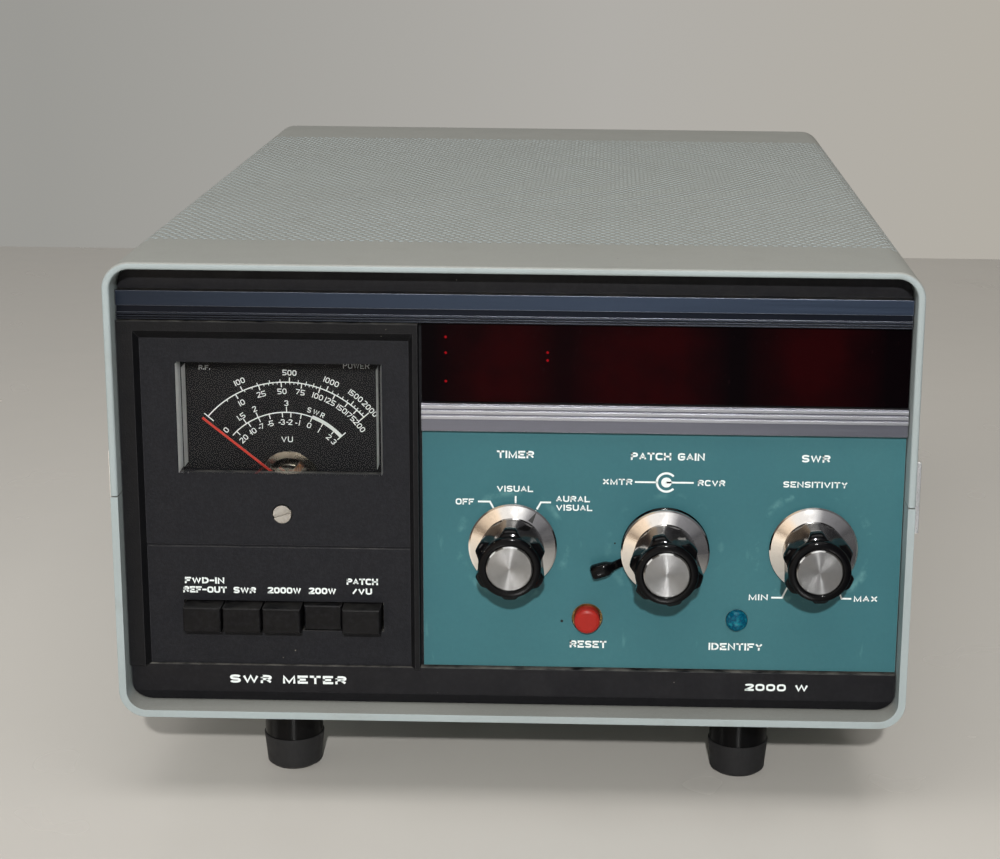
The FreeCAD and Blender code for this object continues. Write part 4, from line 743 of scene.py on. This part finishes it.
# ---------------- printing
# Each letter: a sideways scale, how many units wide, and its strokes in units, two digits a point.
# A stroke that starts with ~ has rounded corners, and one with @ rounder ones.
CELL_H = 6
LETTER_GAP = 2.0
ROUNDINGS = {"~": 2.0, "@": 3.0}
MITRE = 1.35
GLYPHS = {
    " ": (1.0, 2, ""), "-": (0.6, 4, "03 43"), "/": (1.0, 3, "00 36"), ".": (1.0, 0, "00 01"),
    "A": (1.0, 4, "00 26 40|12 32"), "C": (1.0, 4, "~45 46 06 00 40 41"),
    "D": (1.0, 4, "10 00 06 16|@16 46 40 10"),
    "E": (0.9, 4, "46 06 00 40|03 33"), "F": (0.9, 4, "46 06 00|03 33"),
    "G": (1.0, 4, "~45 46 06 00 40 42|42 43 23"), "H": (1.0, 4, "00 06|40 46|03 43"),
    "I": (1.0, 0, "00 06"),
    "L": (0.85, 4, "06 00 40"), "M": (1.15, 4, "00 06 20 46 40"), "N": (1.0, 4, "00 06 40 46"),
    "O": (1.05, 4, "~26 06 00 40 46 26"), "P": (0.95, 4, "00 06|~06 46 43 03"),
    "R": (1.0, 4, "00 06|~06 46 43 03|23 40"), "S": (0.95, 4, "~45 46 06 03 43 40 00 01"),
    "T": (0.95, 4, "06 46|26 20"), "U": (1.0, 4, "~06 00 40 46"), "V": (1.1, 4, "06 20 46"),
    "W": (0.75, 8, "06 20 46 60 86"), "X": (1.0, 4, "00 46|06 40"), "Y": (1.0, 4, "06 23 46|23 20"),
    "0": (0.95, 4, "~26 06 00 40 46 26"), "1": (1.0, 0, "00 06"), "2": (0.95, 4, "~05 06 46 44 00|00 40"),
    "3": (0.95, 4, "~05 06 46 43 23|~23 43 40 00 01"), "5": (0.95, 4, "46 06 03|~03 43 40 00"),
    "7": (0.95, 4, "06 46 10"),
}


def filleted(line, radius, steps=4):
    """The line with its corners rounded."""
    made = [line[0]]
    for before, corner, after in zip(line, line[1:], line[2:]):
        ends = []
        for other in (before, after):
            dx, dz = other[0] - corner[0], other[1] - corner[1]
            size = math.hypot(dx, dz)
            reach = min(radius, size if other in (line[0], line[-1]) else size / 2)
            ends.append((corner[0] + dx / size * reach, corner[1] + dz / size * reach))
        for k in range(steps + 1):
            t = k / steps
            made.append(tuple((1 - t) ** 2 * ends[0][c] + 2 * t * (1 - t) * corner[c] + t * t * ends[1][c]
                              for c in (0, 1)))
    made.append(line[-1])
    return [p for k, p in enumerate(made) if not k or math.dist(p, made[k - 1]) > 1e-6]


def squared_ends(line, reach):
    """The line made longer by reach at each end that runs straight up or across."""
    made = list(line)
    for end, near in ((0, 1), (-1, -2)):
        dx, dz = line[end][0] - line[near][0], line[end][1] - line[near][1]
        if line[0] != line[-1] and min(abs(dx), abs(dz)) < 1e-6:
            size = math.hypot(dx, dz)
            made[end] = (line[end][0] + dx / size * reach, line[end][1] + dz / size * reach)
    return made


def orbit(centre, radius, angle):
    """The (x, z) point at that radius and clockwise angle round a centre."""
    return centre[0] + radius * math.sin(angle), centre[1] + radius * math.cos(angle)


class Print:
    """Flat ink on the plane y = back, collected into one piece."""

    def __init__(self, back, thick=0.04):
        self.back = back
        self.thick = thick
        self.points = []
        self.faces = []

    def prism(self, outline):
        """A flat shape from its (x, z) corners, as thick as the ink."""
        first = len(self.points)
        for y in (self.back - self.thick, self.back + self.thick / 4):
            self.points += [place(x, y, z) for x, z in outline]
        self.faces += [[first + k for k in face] for face in tube_faces(2, len(outline))]

    def ribbon(self, line, width):
        """A stroke along (x, z) points, with mitred joints."""
        left, right = [], []
        for k, (x, z) in enumerate(line):
            before = line[k - 1] if k else None
            after = line[k + 1] if k + 1 < len(line) else None
            pairs = ((before, (x, z)), ((x, z), after))
            steps = [(b[0] - a[0], b[1] - a[1]) for a, b in pairs if a and b]
            units = [(dx / math.hypot(dx, dz), dz / math.hypot(dx, dz)) for dx, dz in steps]
            ux, uz = (sum(u[0] for u in units), sum(u[1] for u in units))
            size = math.hypot(ux, uz)
            reach = width / 2 * min(2 / size, MITRE) if len(units) == 2 else width / 2
            ux, uz = ux / size, uz / size
            left.append((x - uz * reach, z + ux * reach))
            right.append((x + uz * reach, z - ux * reach))
        for k in range(len(line) - 1):
            self.prism([left[k], left[k + 1], right[k + 1], right[k]])

    def arc(self, centre, radius, start, end, width, steps=48):
        turns = [math.radians(start + (end - start) * k / steps) for k in range(steps + 1)]
        self.ribbon([orbit(centre, radius, t) for t in turns], width)

    def disc(self, centre, radius, steps=32):
        self.prism([orbit(centre, radius, 2 * math.pi * k / steps) for k in range(steps)])

    def text(self, words, centre, height, width, stroke, turn=0.0):
        """Words in strokes, centred on (x, z), that high and wide over all."""
        letters = [GLYPHS[c] for c in words]
        total = sum(scale * units for scale, units, lines in letters) + LETTER_GAP * (len(letters) - 1)
        x_unit = (width - stroke) / max(total, 1e-6)
        z_unit = (height - stroke) / CELL_H
        sin, cos = math.sin(math.radians(turn)), math.cos(math.radians(turn))
        start = -(width - stroke) / 2 if total else 0.0
        for scale, units, lines in letters:
            for line in lines.split("|") if lines else ():
                drawn = [(int(p[0]) * scale, int(p[1])) for p in line.strip("~@").split()]
                if line[0] in ROUNDINGS:
                    drawn = filleted(drawn, ROUNDINGS[line[0]])
                flat = [(start + x * x_unit, (z - CELL_H / 2) * z_unit) for x, z in drawn]
                flat = squared_ends(flat, stroke / 2)
                self.ribbon([(centre[0] + x * cos + z * sin, centre[1] - x * sin + z * cos)
                             for x, z in flat], stroke)
            start += (scale * units + LETTER_GAP) * x_unit

    def finished(self, name, finish, slot):
        return piece(name, self.points, self.faces, slot, finish=finish)


white_ink = silk_white("silk_white")
panel = Print(back_of("control_panel"))
# Sizes of lettering: how high it is and how thick its strokes are.
BIG, SMALL, KEY = (2.5, 0.56), (2.07, 0.44), (2.2, 0.56)
# Legends: the words, the X and Z of their middle, their size and how wide they are.
for words, x, z, (height, stroke), width in (
    ("TIMER", 0.75, 89.75, BIG, 12.1), ("PATCH GAIN", 50.3, 89.75, BIG, 24.0),
    ("SWR", 98.4, 89.75, BIG, 9.2), ("SENSITIVITY", 98.5, 80.95, SMALL, 20.9),
    ("XMTR", 34.1, 81.0, SMALL, 9.7), ("RCVR", 64.7, 81.0, SMALL, 8.9),
    ("VISUAL", 0.6, 78.1, SMALL, 11.9), ("OFF", -15.8, 73.5, SMALL, 6.0),
    ("AURAL", 19.6, 74.9, SMALL, 11.1), ("VISUAL", 20.0, 71.9, SMALL, 11.9),
    ("MIN", 81.1, 42.0, SMALL, 6.3), ("MAX", 116.5, 42.0, SMALL, 7.8),
    ("RESET", 25.1, 24.55, BIG, 12.2), ("IDENTIFY", 74.1, 24.5, BIG, 17.9),
):
    panel.text(words, (x, z), height, width, stroke)
LEADER = 0.58
for line in (
    [(-11.5, 73.6), (-7.6, 73.6), (-6.4, 71.4)], [(0.85, 75.65), (0.85, 73.2)],
    [(12.4, 73.6), (9.1, 73.6), (7.8, 71.2)], [(85.4, 41.95), (88.9, 41.95), (90.6, 45.6)],
    [(111.75, 41.95), (108.6, 41.95), (107.0, 45.6)],
    [(39.75, 81.0), (47.0, 81.0)], [(50.0, 81.0), (58.9, 81.0)],
):
    panel.ribbon(line, LEADER)
SYMBOL = (50.0, 81.0)
panel.arc(SYMBOL, 3.1, 132, 408, 0.72)
panel.disc(SYMBOL, 1.7)
panel.finished("panel_legends", white_ink, "teal_panel")

keys = Print(back_of("meter_bezel") + FIELD_DEEP)
for words, x, z, width in (
    ("FWD-IN", -102.1, 45.05, 13.1), ("REF-OUT", -102.1, 41.85, 14.5), ("SWR", -88.85, 41.85, 7.5),
    ("2000W", -75.7, 41.95, 11.1), ("200W", -63.05, 41.95, 9.1), ("PATCH", -49.8, 45.4, 10.4),
    ("/VU", -49.9, 42.0, 6.6),
):
    keys.text(words, (x, z), KEY[0], width, KEY[1])
keys.finished("key_legends", white_ink, "black_moulding")

bar = Print(back_of("bottom_trim_bar"))
bar.text("SWR METER", (-75.0, 10.9), 2.9, 39.0, 0.75)
bar.text("2000 W", (88.0, 10.8), 2.5, 21.0, 0.65)
bar.finished("bar_legends", white_ink, "black_panel")

# The meter's scales, round the needle's pivot. FIRST and LAST are where they start and end.
PIVOT = (-75.0, 76.8)
OUTER_R, INNER_R = 34.0, 23.8
FIRST, LAST = -49.6, 48.5
SCALE_LINE = 0.34
TICK = 0.3
DIGIT = (1.85, 0.27)    # how high the numbers are, and their strokes
DIGIT_W, NARROW_W, DIGIT_GAP = 1.6, 0.62, 0.25
dial = Print(back_of("meter_dial"), 0.05)


def around(radius, turn):
    """The (x, z) point at that radius and angle round the pivot."""
    return orbit(PIVOT, radius, math.radians(turn))


def tick(turn, low, high, width=0.32):
    """A line on the dial from one radius to another."""
    dial.ribbon([around(low, turn), around(high, turn)], width)


def between(table, value):
    """The angle of a value on a scale, from a table of values and angles."""
    for (v0, a0), (v1, a1) in zip(table, table[1:]):
        if v0 <= value <= v1:
            share = (math.sqrt(value) - math.sqrt(v0)) / (math.sqrt(v1) - math.sqrt(v0))
            return a0 + (a1 - a0) * share
    return LAST


HIGH_SCALE = ((0, FIRST), (100, -24.8), (500, 2.0), (1000, 23.0), (1500, 38.6), (2000, LAST))
LOW_SCALE = ((0, FIRST), (10, -29.3), (25, -15.3), (50, -2.6), (75, 8.9), (100, 19.3), (125, 28.3),
             (150, 36.6), (175, 43.0), (200, LAST))
dial.arc(PIVOT, OUTER_R, FIRST, LAST, SCALE_LINE, 64)
dial.arc(PIVOT, INNER_R, -48.8, LAST, SCALE_LINE, 56)
dial.arc(PIVOT, INNER_R + 0.05, 20.7, LAST, 1.15, 24)
for turn, low, high in ((FIRST, 31.6, 35.6), (LAST, 31.7, 36.2), (LAST, 22.2, 25.9)):
    tick(turn, low, high)
for value, turn in HIGH_SCALE[1:-1]:
    tick(turn, OUTER_R, 35.6)
for value, turn in LOW_SCALE[1:-1]:
    tick(turn, 32.3, OUTER_R)
for value in list(range(200, 1000, 100)) + list(range(1100, 2000, 100)):
    if value % 500:
        tick(between(HIGH_SCALE, value), OUTER_R, 34.9, 0.24)
for value in (5, 15, 20, 30, 35, 40, 45, 55, 60, 65, 70, 80, 85, 90, 95):
    tick(between(LOW_SCALE, value), 33.3, OUTER_R, 0.22)
# The numbers: each one's angle and radius.
for value, turn, radius in (
    ("100", -24.1, 37.2), ("500", 2.0, 37.2), ("1000", 23.6, 37.4), ("1500", 37.6, 37.5),
    ("2000", 47.3, 37.4),
    ("10", -28.6, 30.6), ("25", -15.3, 30.9), ("50", -2.4, 30.9), ("75", 8.7, 31.0), ("100", 19.6, 31.1),
    ("125", 27.6, 31.2), ("150", 35.9, 31.1), ("175", 43.0, 31.0), ("200", 50.8, 30.9),
    ("1.5", -34.0, 26.7), ("2", -23.0, 26.9), ("3", 0.0, 26.9), ("0", -48.9, 26.6),
    ("20", -44.4, 20.4), ("10", -32.8, 20.5), ("7", -23.3, 20.6), ("5", -14.2, 20.6), ("3", -3.6, 20.5),
    ("2", 3.4, 20.5), ("1", 11.8, 20.7), ("0", 20.8, 20.8), ("1", 30.8, 20.8), ("2", 41.6, 20.8),
    ("3", 47.8, 20.8),
):
    wide = sum(NARROW_W if c in "1." else DIGIT_W for c in value) - DIGIT_GAP
    dial.text(value, around(radius, turn), DIGIT[0], wide, DIGIT[1], turn)
for turn, high in ((-33.8, 25.6), (-23.1, 25.6), (0.1, 25.7)):
    tick(turn, INNER_R, high, TICK)
for turn in (-44.2, -32.4, -23.0, -14.0, -3.4, 3.6, 11.9, 20.7, 30.7, 41.5):
    tick(turn, 22.1, INNER_R, TICK)
# minus signs before the first six numbers
for turn in (-35.6, -26.2, -17.0, -6.6, 0.6, 8.9):
    dial.ribbon([around(20.4, turn - 0.9), around(20.4, turn + 1.0)], TICK)
for letter, turn in (("S", 17.0), ("W", 22.2), ("R", 27.4)):
    dial.text(letter, around(25.8, turn), 1.75, 2.0 if letter == "W" else 1.25, 0.26, turn)
dial.text("VU", (-75.0, 91.4), 1.9, 3.8, 0.27)
dial.finished("dial_scales", silk_white("scale_ink", (0.80, 0.84, 0.83)), "dial_black")
# The titles lie in shade, so their ink is painted grey.
titles = Print(back_of("meter_dial"), 0.05)
titles.text("R.F.", (-101.6, 115.4), 1.5, 3.7, 0.24)
titles.text("POWER", (-51.8, 116.6), 1.9, 8.6, 0.26)
titles.finished("dial_titles", silk_white("title_ink_painted_shade", (0.42, 0.44, 0.44)), "dial_black")


# ---------------- knobs and lever
FLUTES = 6
FLUTE_R, FLUTE_AT = 6.5, 16.3   # each flute is a circle of this radius, this far from the axis
EDGE_R = 0.28
COLUMNS = 168
KNOB_SHARP = math.radians(50)
PANEL_Y = back_of("control_panel")
# The knob from its base out: height above the panel, radius, and how far the flutes cut in.
KNOB_ROWS = (
    (3.4, 9.6, 0.0), (3.4, 10.0, 1.0), (3.65, 10.25, 1.0), (6.0, 10.5, 1.0), (10.0, 10.95, 1.0),
    (14.0, 11.4, 1.0), (17.5, 11.75, 1.0), (19.6, 11.95, 1.0), (20.5, 11.9, 1.0), (21.1, 11.7, 1.0),
    (21.6, 11.3, 1.0), (21.95, 10.8, 0.9), (22.1, 10.35, 0.5), (22.2, 10.12, 0.0), (22.5, 10.1, 0.0),
    (23.6, 10.1, 0.0), (24.05, 10.0, 0.0), (24.35, 9.75, 0.0), (24.5, 9.4, 0.0), (24.5, 8.2, 0.0),
    (24.5, 7.75, 0.0), (24.4, 7.58, 0.0), (24.2, 7.5, 0.0), (23.35, 7.5, 0.0), (23.32, 7.2, 0.0))
# How much further out each knob sits, and how far its lobes are turned.
KNOBS = {"timer": (0.0, 0.0), "patch": (2.0, 14.0), "sensitivity": (0.0, 5.0)}


def lathed(name, centre, rows, radius_at, columns, body, sharp=SHARP):
    """A closed turned piece. rows start with a height out of the panel, and radius_at(row, angle)
    gives the radius there."""
    points = []
    for row in rows:
        for k in range(columns):
            angle = 2 * math.pi * k / columns
            radius = radius_at(row, angle)
            points.append(place(centre[0] + radius * math.cos(angle), PANEL_Y - row[0],
                                centre[1] + radius * math.sin(angle)))
    return piece(name, points, tube_faces(len(rows), columns), "knob_black", body, sharp)


def fluted(turn):
    """The radius of a fluted knob at a row and an angle, with its lobes turned that far."""
    def radius_at(row, angle):
        height, full, depth = row
        step = 2 * math.pi / FLUTES
        off = (angle - math.radians(turn) + step / 2) % step - step / 2
        across = FLUTE_AT * math.sin(off)
        if depth == 0 or abs(across) >= FLUTE_R:
            return full
        flute = FLUTE_AT * math.cos(off) - math.sqrt(FLUTE_R ** 2 - across ** 2)
        blend = -EDGE_R * math.log(math.exp(-full / EDGE_R) + math.exp(-flute / EDGE_R))
        return full + (min(full, blend) - full) * depth
    return radius_at


for control, (lift, turn) in KNOBS.items():
    rows = [(height + lift, radius, depth) for height, radius, depth in KNOB_ROWS]
    made = lathed(control + "_knob_body", middle(control + "_skirt"), rows, fluted(turn), COLUMNS,
                  control + "_control", KNOB_SHARP)
    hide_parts(control + "_knob")

# The lever's disc and hub: height above the panel and radius.
LEVER_DISC = ((0.4, 6.7), (0.4, 14.1), (0.55, 14.4), (0.8, 14.5), (1.05, 14.4), (1.3, 14.1), (1.3, 7.5),
              (1.5, 7.25), (5.0, 7.2), (5.2, 7.0), (5.2, 4.0), (6.8, 3.75), (7.0, 3.6), (7.0, 1.7))
lever_axis = middle("patch_skirt")
disc = lathed("patch_lever_disc", lever_axis, LEVER_DISC, lambda row, angle: row[1], 96, "patch_lever")
# The arm out from the axis: how far out, half its width, and its heights above the panel.
ARM = ((13.6, 1.5, 0.5, 1.2), (15.2, 1.45, 0.6, 1.9), (16.6, 1.35, 0.8, 2.9), (17.8, 1.35, 1.0, 3.9),
       (18.7, 1.7, 1.0, 4.7), (19.6, 2.2, 0.95, 5.1), (21.0, 2.35, 0.9, 5.2), (23.0, 2.4, 0.9, 5.2),
       (24.4, 2.35, 0.9, 5.15), (24.95, 2.15, 1.1, 4.95), (25.15, 1.8, 1.4, 4.65))
ARM_TURN = math.radians(197.5)
ARM_SIDES = 28
SQUARENESS = 0.62       # 1 for an oval arm, and less for a squarer one


def lever_arm():
    """The lever's paddle, in squarish rings out from the disc."""
    out = (math.cos(ARM_TURN), math.sin(ARM_TURN))
    points = []
    for reach, half_w, low, high in ARM:
        for k in range(ARM_SIDES):
            angle = 2 * math.pi * k / ARM_SIDES
            u, v = (math.copysign(abs(w) ** SQUARENESS, w) for w in (math.cos(angle), math.sin(angle)))
            side = half_w * u
            height = (low + high) / 2 + (high - low) / 2 * v
            points.append(place(lever_axis[0] + reach * out[0] - side * out[1], PANEL_Y - height,
                                lever_axis[1] + reach * out[1] + side * out[0]))
    faces = tube_faces(len(ARM), ARM_SIDES)
    return piece("patch_lever_arm", points, faces, "knob_black", "patch_lever", KNOB_SHARP)


for made in (disc, lever_arm()):
    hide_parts("patch_lever")


# ---------------- the pointer printed on the timer's skirt
INK_LIFT = 0.03
INK_CUTS = 6
RAY_FROM = -20          # how far in front of the rim the rays start


def draped(name, node, body, corners, slot, finish):
    """A printed quadrilateral laid on the front of a node. corners are (x, z)."""
    solid = frame["nodes"][node].data
    tree = BVHTree.FromPolygons([v.co for v in solid.vertices], [p.vertices for p in solid.polygons])
    lift = Vector((0, INK_LIFT * MM, 0))
    steps = [k / INK_CUTS for k in range(INK_CUTS + 1)]
    points = []
    for u in steps:
        row = []
        for v in steps:
            shares = ((1 - u) * (1 - v), u * (1 - v), u * v, (1 - u) * v)
            x, z = (sum(w * c[k] for w, c in zip(shares, corners)) for k in (0, 1))
            row.append(tree.ray_cast(place(x, RAY_FROM, z), Vector((0, 1, 0)))[0])
        points += [hit - lift for hit in row] + [hit + lift for hit in reversed(row)]
    faces = tube_faces(len(steps), 2 * len(steps))
    return piece(name, points, faces, slot, body, finish=finish)


timer_x, timer_z = middle("timer_skirt")
POINTER_TURN = math.radians(33.0)


def on_skirt(radius, across):
    """The (x, z) point that far along and across the pointer."""
    return (timer_x + radius * math.sin(POINTER_TURN) + across * math.cos(POINTER_TURN),
            timer_z + radius * math.cos(POINTER_TURN) - across * math.sin(POINTER_TURN))


draped("timer_pointer", "timer_skirt", "timer_control",
       [on_skirt(10.6, -0.85), on_skirt(14.3, -0.07), on_skirt(14.3, 0.07), on_skirt(10.6, 0.85)],
       "polished_skirt", pointer_ink())

# ---------------- floor, light and camera
FLOOR_BACK, FLOOR_SIDE, FLOOR_FRONT = 0.86, 1.7, -2.2   # metres
# Painted light and shade on the table, seen only by polished metal that mirrors it: its colours by X, in
# millimetres.
MIRRORED_FLOOR_LIGHT = ((-500, (0.20, 0.15, 0.11)), (-330, (1.0, 0.86, 0.70)), (-120, (0.80, 0.75, 0.68)),
                  (60, (0.46, 0.45, 0.43)), (220, (0.06, 0.06, 0.065)))


def floor_finish():
    """A plain pale table top, with painted light and shade across X that only reflections see."""
    f = Finish("floor", (0.60, 0.575, 0.535), 0.4)
    f.stain((0.55, 0.535, 0.51), 0.25, 0.3, 0.7, 260, 2.0)
    f.roughen(f.noise(60, 2.0), 0.2, 0.28)
    mirrored = f.ramp(f.along("X"), MIRRORED_FLOOR_LIGHT)
    # Reflections of the table get the painted light and shade.
    f.tint(f.node("LightPath").outputs["Is Glossy Ray"], mirrored)
    return f


floor_mesh = bpy.data.meshes.new("floor")
floor_mesh.from_pydata([(-FLOOR_SIDE, FLOOR_FRONT, 0), (FLOOR_SIDE, FLOOR_FRONT, 0),
                        (FLOOR_SIDE, FLOOR_BACK, 0), (-FLOOR_SIDE, FLOOR_BACK, 0)], [], [(0, 1, 2, 3)])
floor_mesh.materials.append(floor_finish().material)
floor = added("floor", floor_mesh)


def softbox(name, location, target, size, watts, color):
    """A rectangular light aimed at a target."""
    lamp = bpy.data.lights.new(name, "AREA")
    lamp.shape = "RECTANGLE"
    lamp.size, lamp.size_y = size
    lamp.energy = watts
    lamp.color = color
    made = added(name, lamp)
    made.location = location
    made.rotation_euler = (Vector(target) - Vector(location)).to_track_quat("-Z", "Y").to_euler()


softbox("key", (0.06, -1.75, 0.88), (0, -0.1, 0.09), (0.05, 0.04), 27.5, (1.0, 0.99, 0.97))
softbox("overhead", (0.0, -0.55, 1.7), (0, -0.2, 0), (1.4, 1.0), 13, (1.0, 0.99, 0.97))
softbox("window", (-1.7, -0.5, 0.9), (0, 0, 0.08), (0.8, 0.8), 9.5, (1.0, 0.97, 0.93))

# What the part's polished metal mirrors: colours across the room in front of it, by the X of the
# direction, and how bright they are by its Z.
ROOM = ((-1.0, (0.10, 0.09, 0.085)), (-0.64, (0.13, 0.10, 0.085)), (-0.56, (0.55, 0.42, 0.31)),
        (-0.27, (1.25, 1.0, 0.76)), (-0.22, (1.1, 1.05, 1.0)), (0.10, (1.0, 1.0, 1.02)),
        (0.22, (0.28, 0.28, 0.30)), (0.6, (0.12, 0.12, 0.13)), (1.0, (0.08, 0.08, 0.08)))
ROOM_UP = ((-0.1, 0.15), (0.04, 1.0), (0.5, 1.0), (0.75, 0.25), (1.0, 0.25))
AMBIENT = 0.18          # how much of the room's light falls on rough surfaces
AHEAD = (-0.1, -0.3)    # Y of the directions between which the mirrored wall turns into the room
WALL = ((-0.26, (0.325, 0.320, 0.300)), (0.0, (0.435, 0.420, 0.392)), (0.24, (0.455, 0.425, 0.370)))


def studio_world():
    """A plain pale backdrop for the camera, and a warm, white and grey room for reflections."""
    world = bpy.data.worlds.new("studio")
    world.use_nodes = True
    w = Wiring(world.node_tree)
    ways = w.node("SeparateXYZ", Vector=w.node("TexCoord").outputs["Generated"]).outputs
    up = w.ramp(ways["Z"], [(z, (k, k, k)) for z, k in ROOM_UP])
    room = w.mix(1.0, w.ramp(ways["X"], ROOM), up, "MULTIPLY")
    wall = w.ramp(ways["X"], WALL)
    mirrored = w.mix(w.remap(ways["Y"], *AHEAD), wall, room)
    path = w.node("LightPath").outputs
    dim = w.mix(1.0, mirrored, (AMBIENT, AMBIENT, AMBIENT, 1.0), "MULTIPLY")
    lit = w.mix(path["Is Diffuse Ray"], mirrored, dim)
    w.put("Color", w.mix(path["Is Camera Ray"], lit, wall), w.tree.nodes["Background"])
    return world


bpy.context.scene.world = studio_world()
bpy.context.scene.view_settings.view_transform = "Standard"

# The camera: its focal length and optical centre in pixels, its place in cabinet millimetres and
# its angles in radians.
LENS_PX = 2108.5
IMAGE_W, IMAGE_H = 1000, 859
CENTRE_PX = (571.4, 395.0)
SENSOR = 36.0
EYE = (30.43, -650.67, 275.8)
YAW, PITCH, ROLL = -0.0177, 0.2461, 0.0098
ahead = Vector((math.sin(YAW) * math.cos(PITCH), math.cos(YAW) * math.cos(PITCH), -math.sin(PITCH)))
level = Vector((math.cos(YAW), -math.sin(YAW), 0.0))
upward = level.cross(ahead)
right = level * math.cos(ROLL) + upward * math.sin(ROLL)
upward = upward * math.cos(ROLL) - level * math.sin(ROLL)
lens = bpy.data.cameras.new("camera")
lens.sensor_width = SENSOR
lens.lens = LENS_PX / IMAGE_W * SENSOR
lens.clip_start = 0.05  # metres
lens.shift_x = (IMAGE_W / 2 - CENTRE_PX[0]) / IMAGE_W
lens.shift_y = (CENTRE_PX[1] - IMAGE_H / 2) / IMAGE_W
camera = added("camera", lens)
turned_to = Matrix((right, upward, -ahead)).transposed().to_4x4()
camera.matrix_world = Matrix.Translation(place(*EYE)) @ turned_to
bpy.context.scene.camera = camera
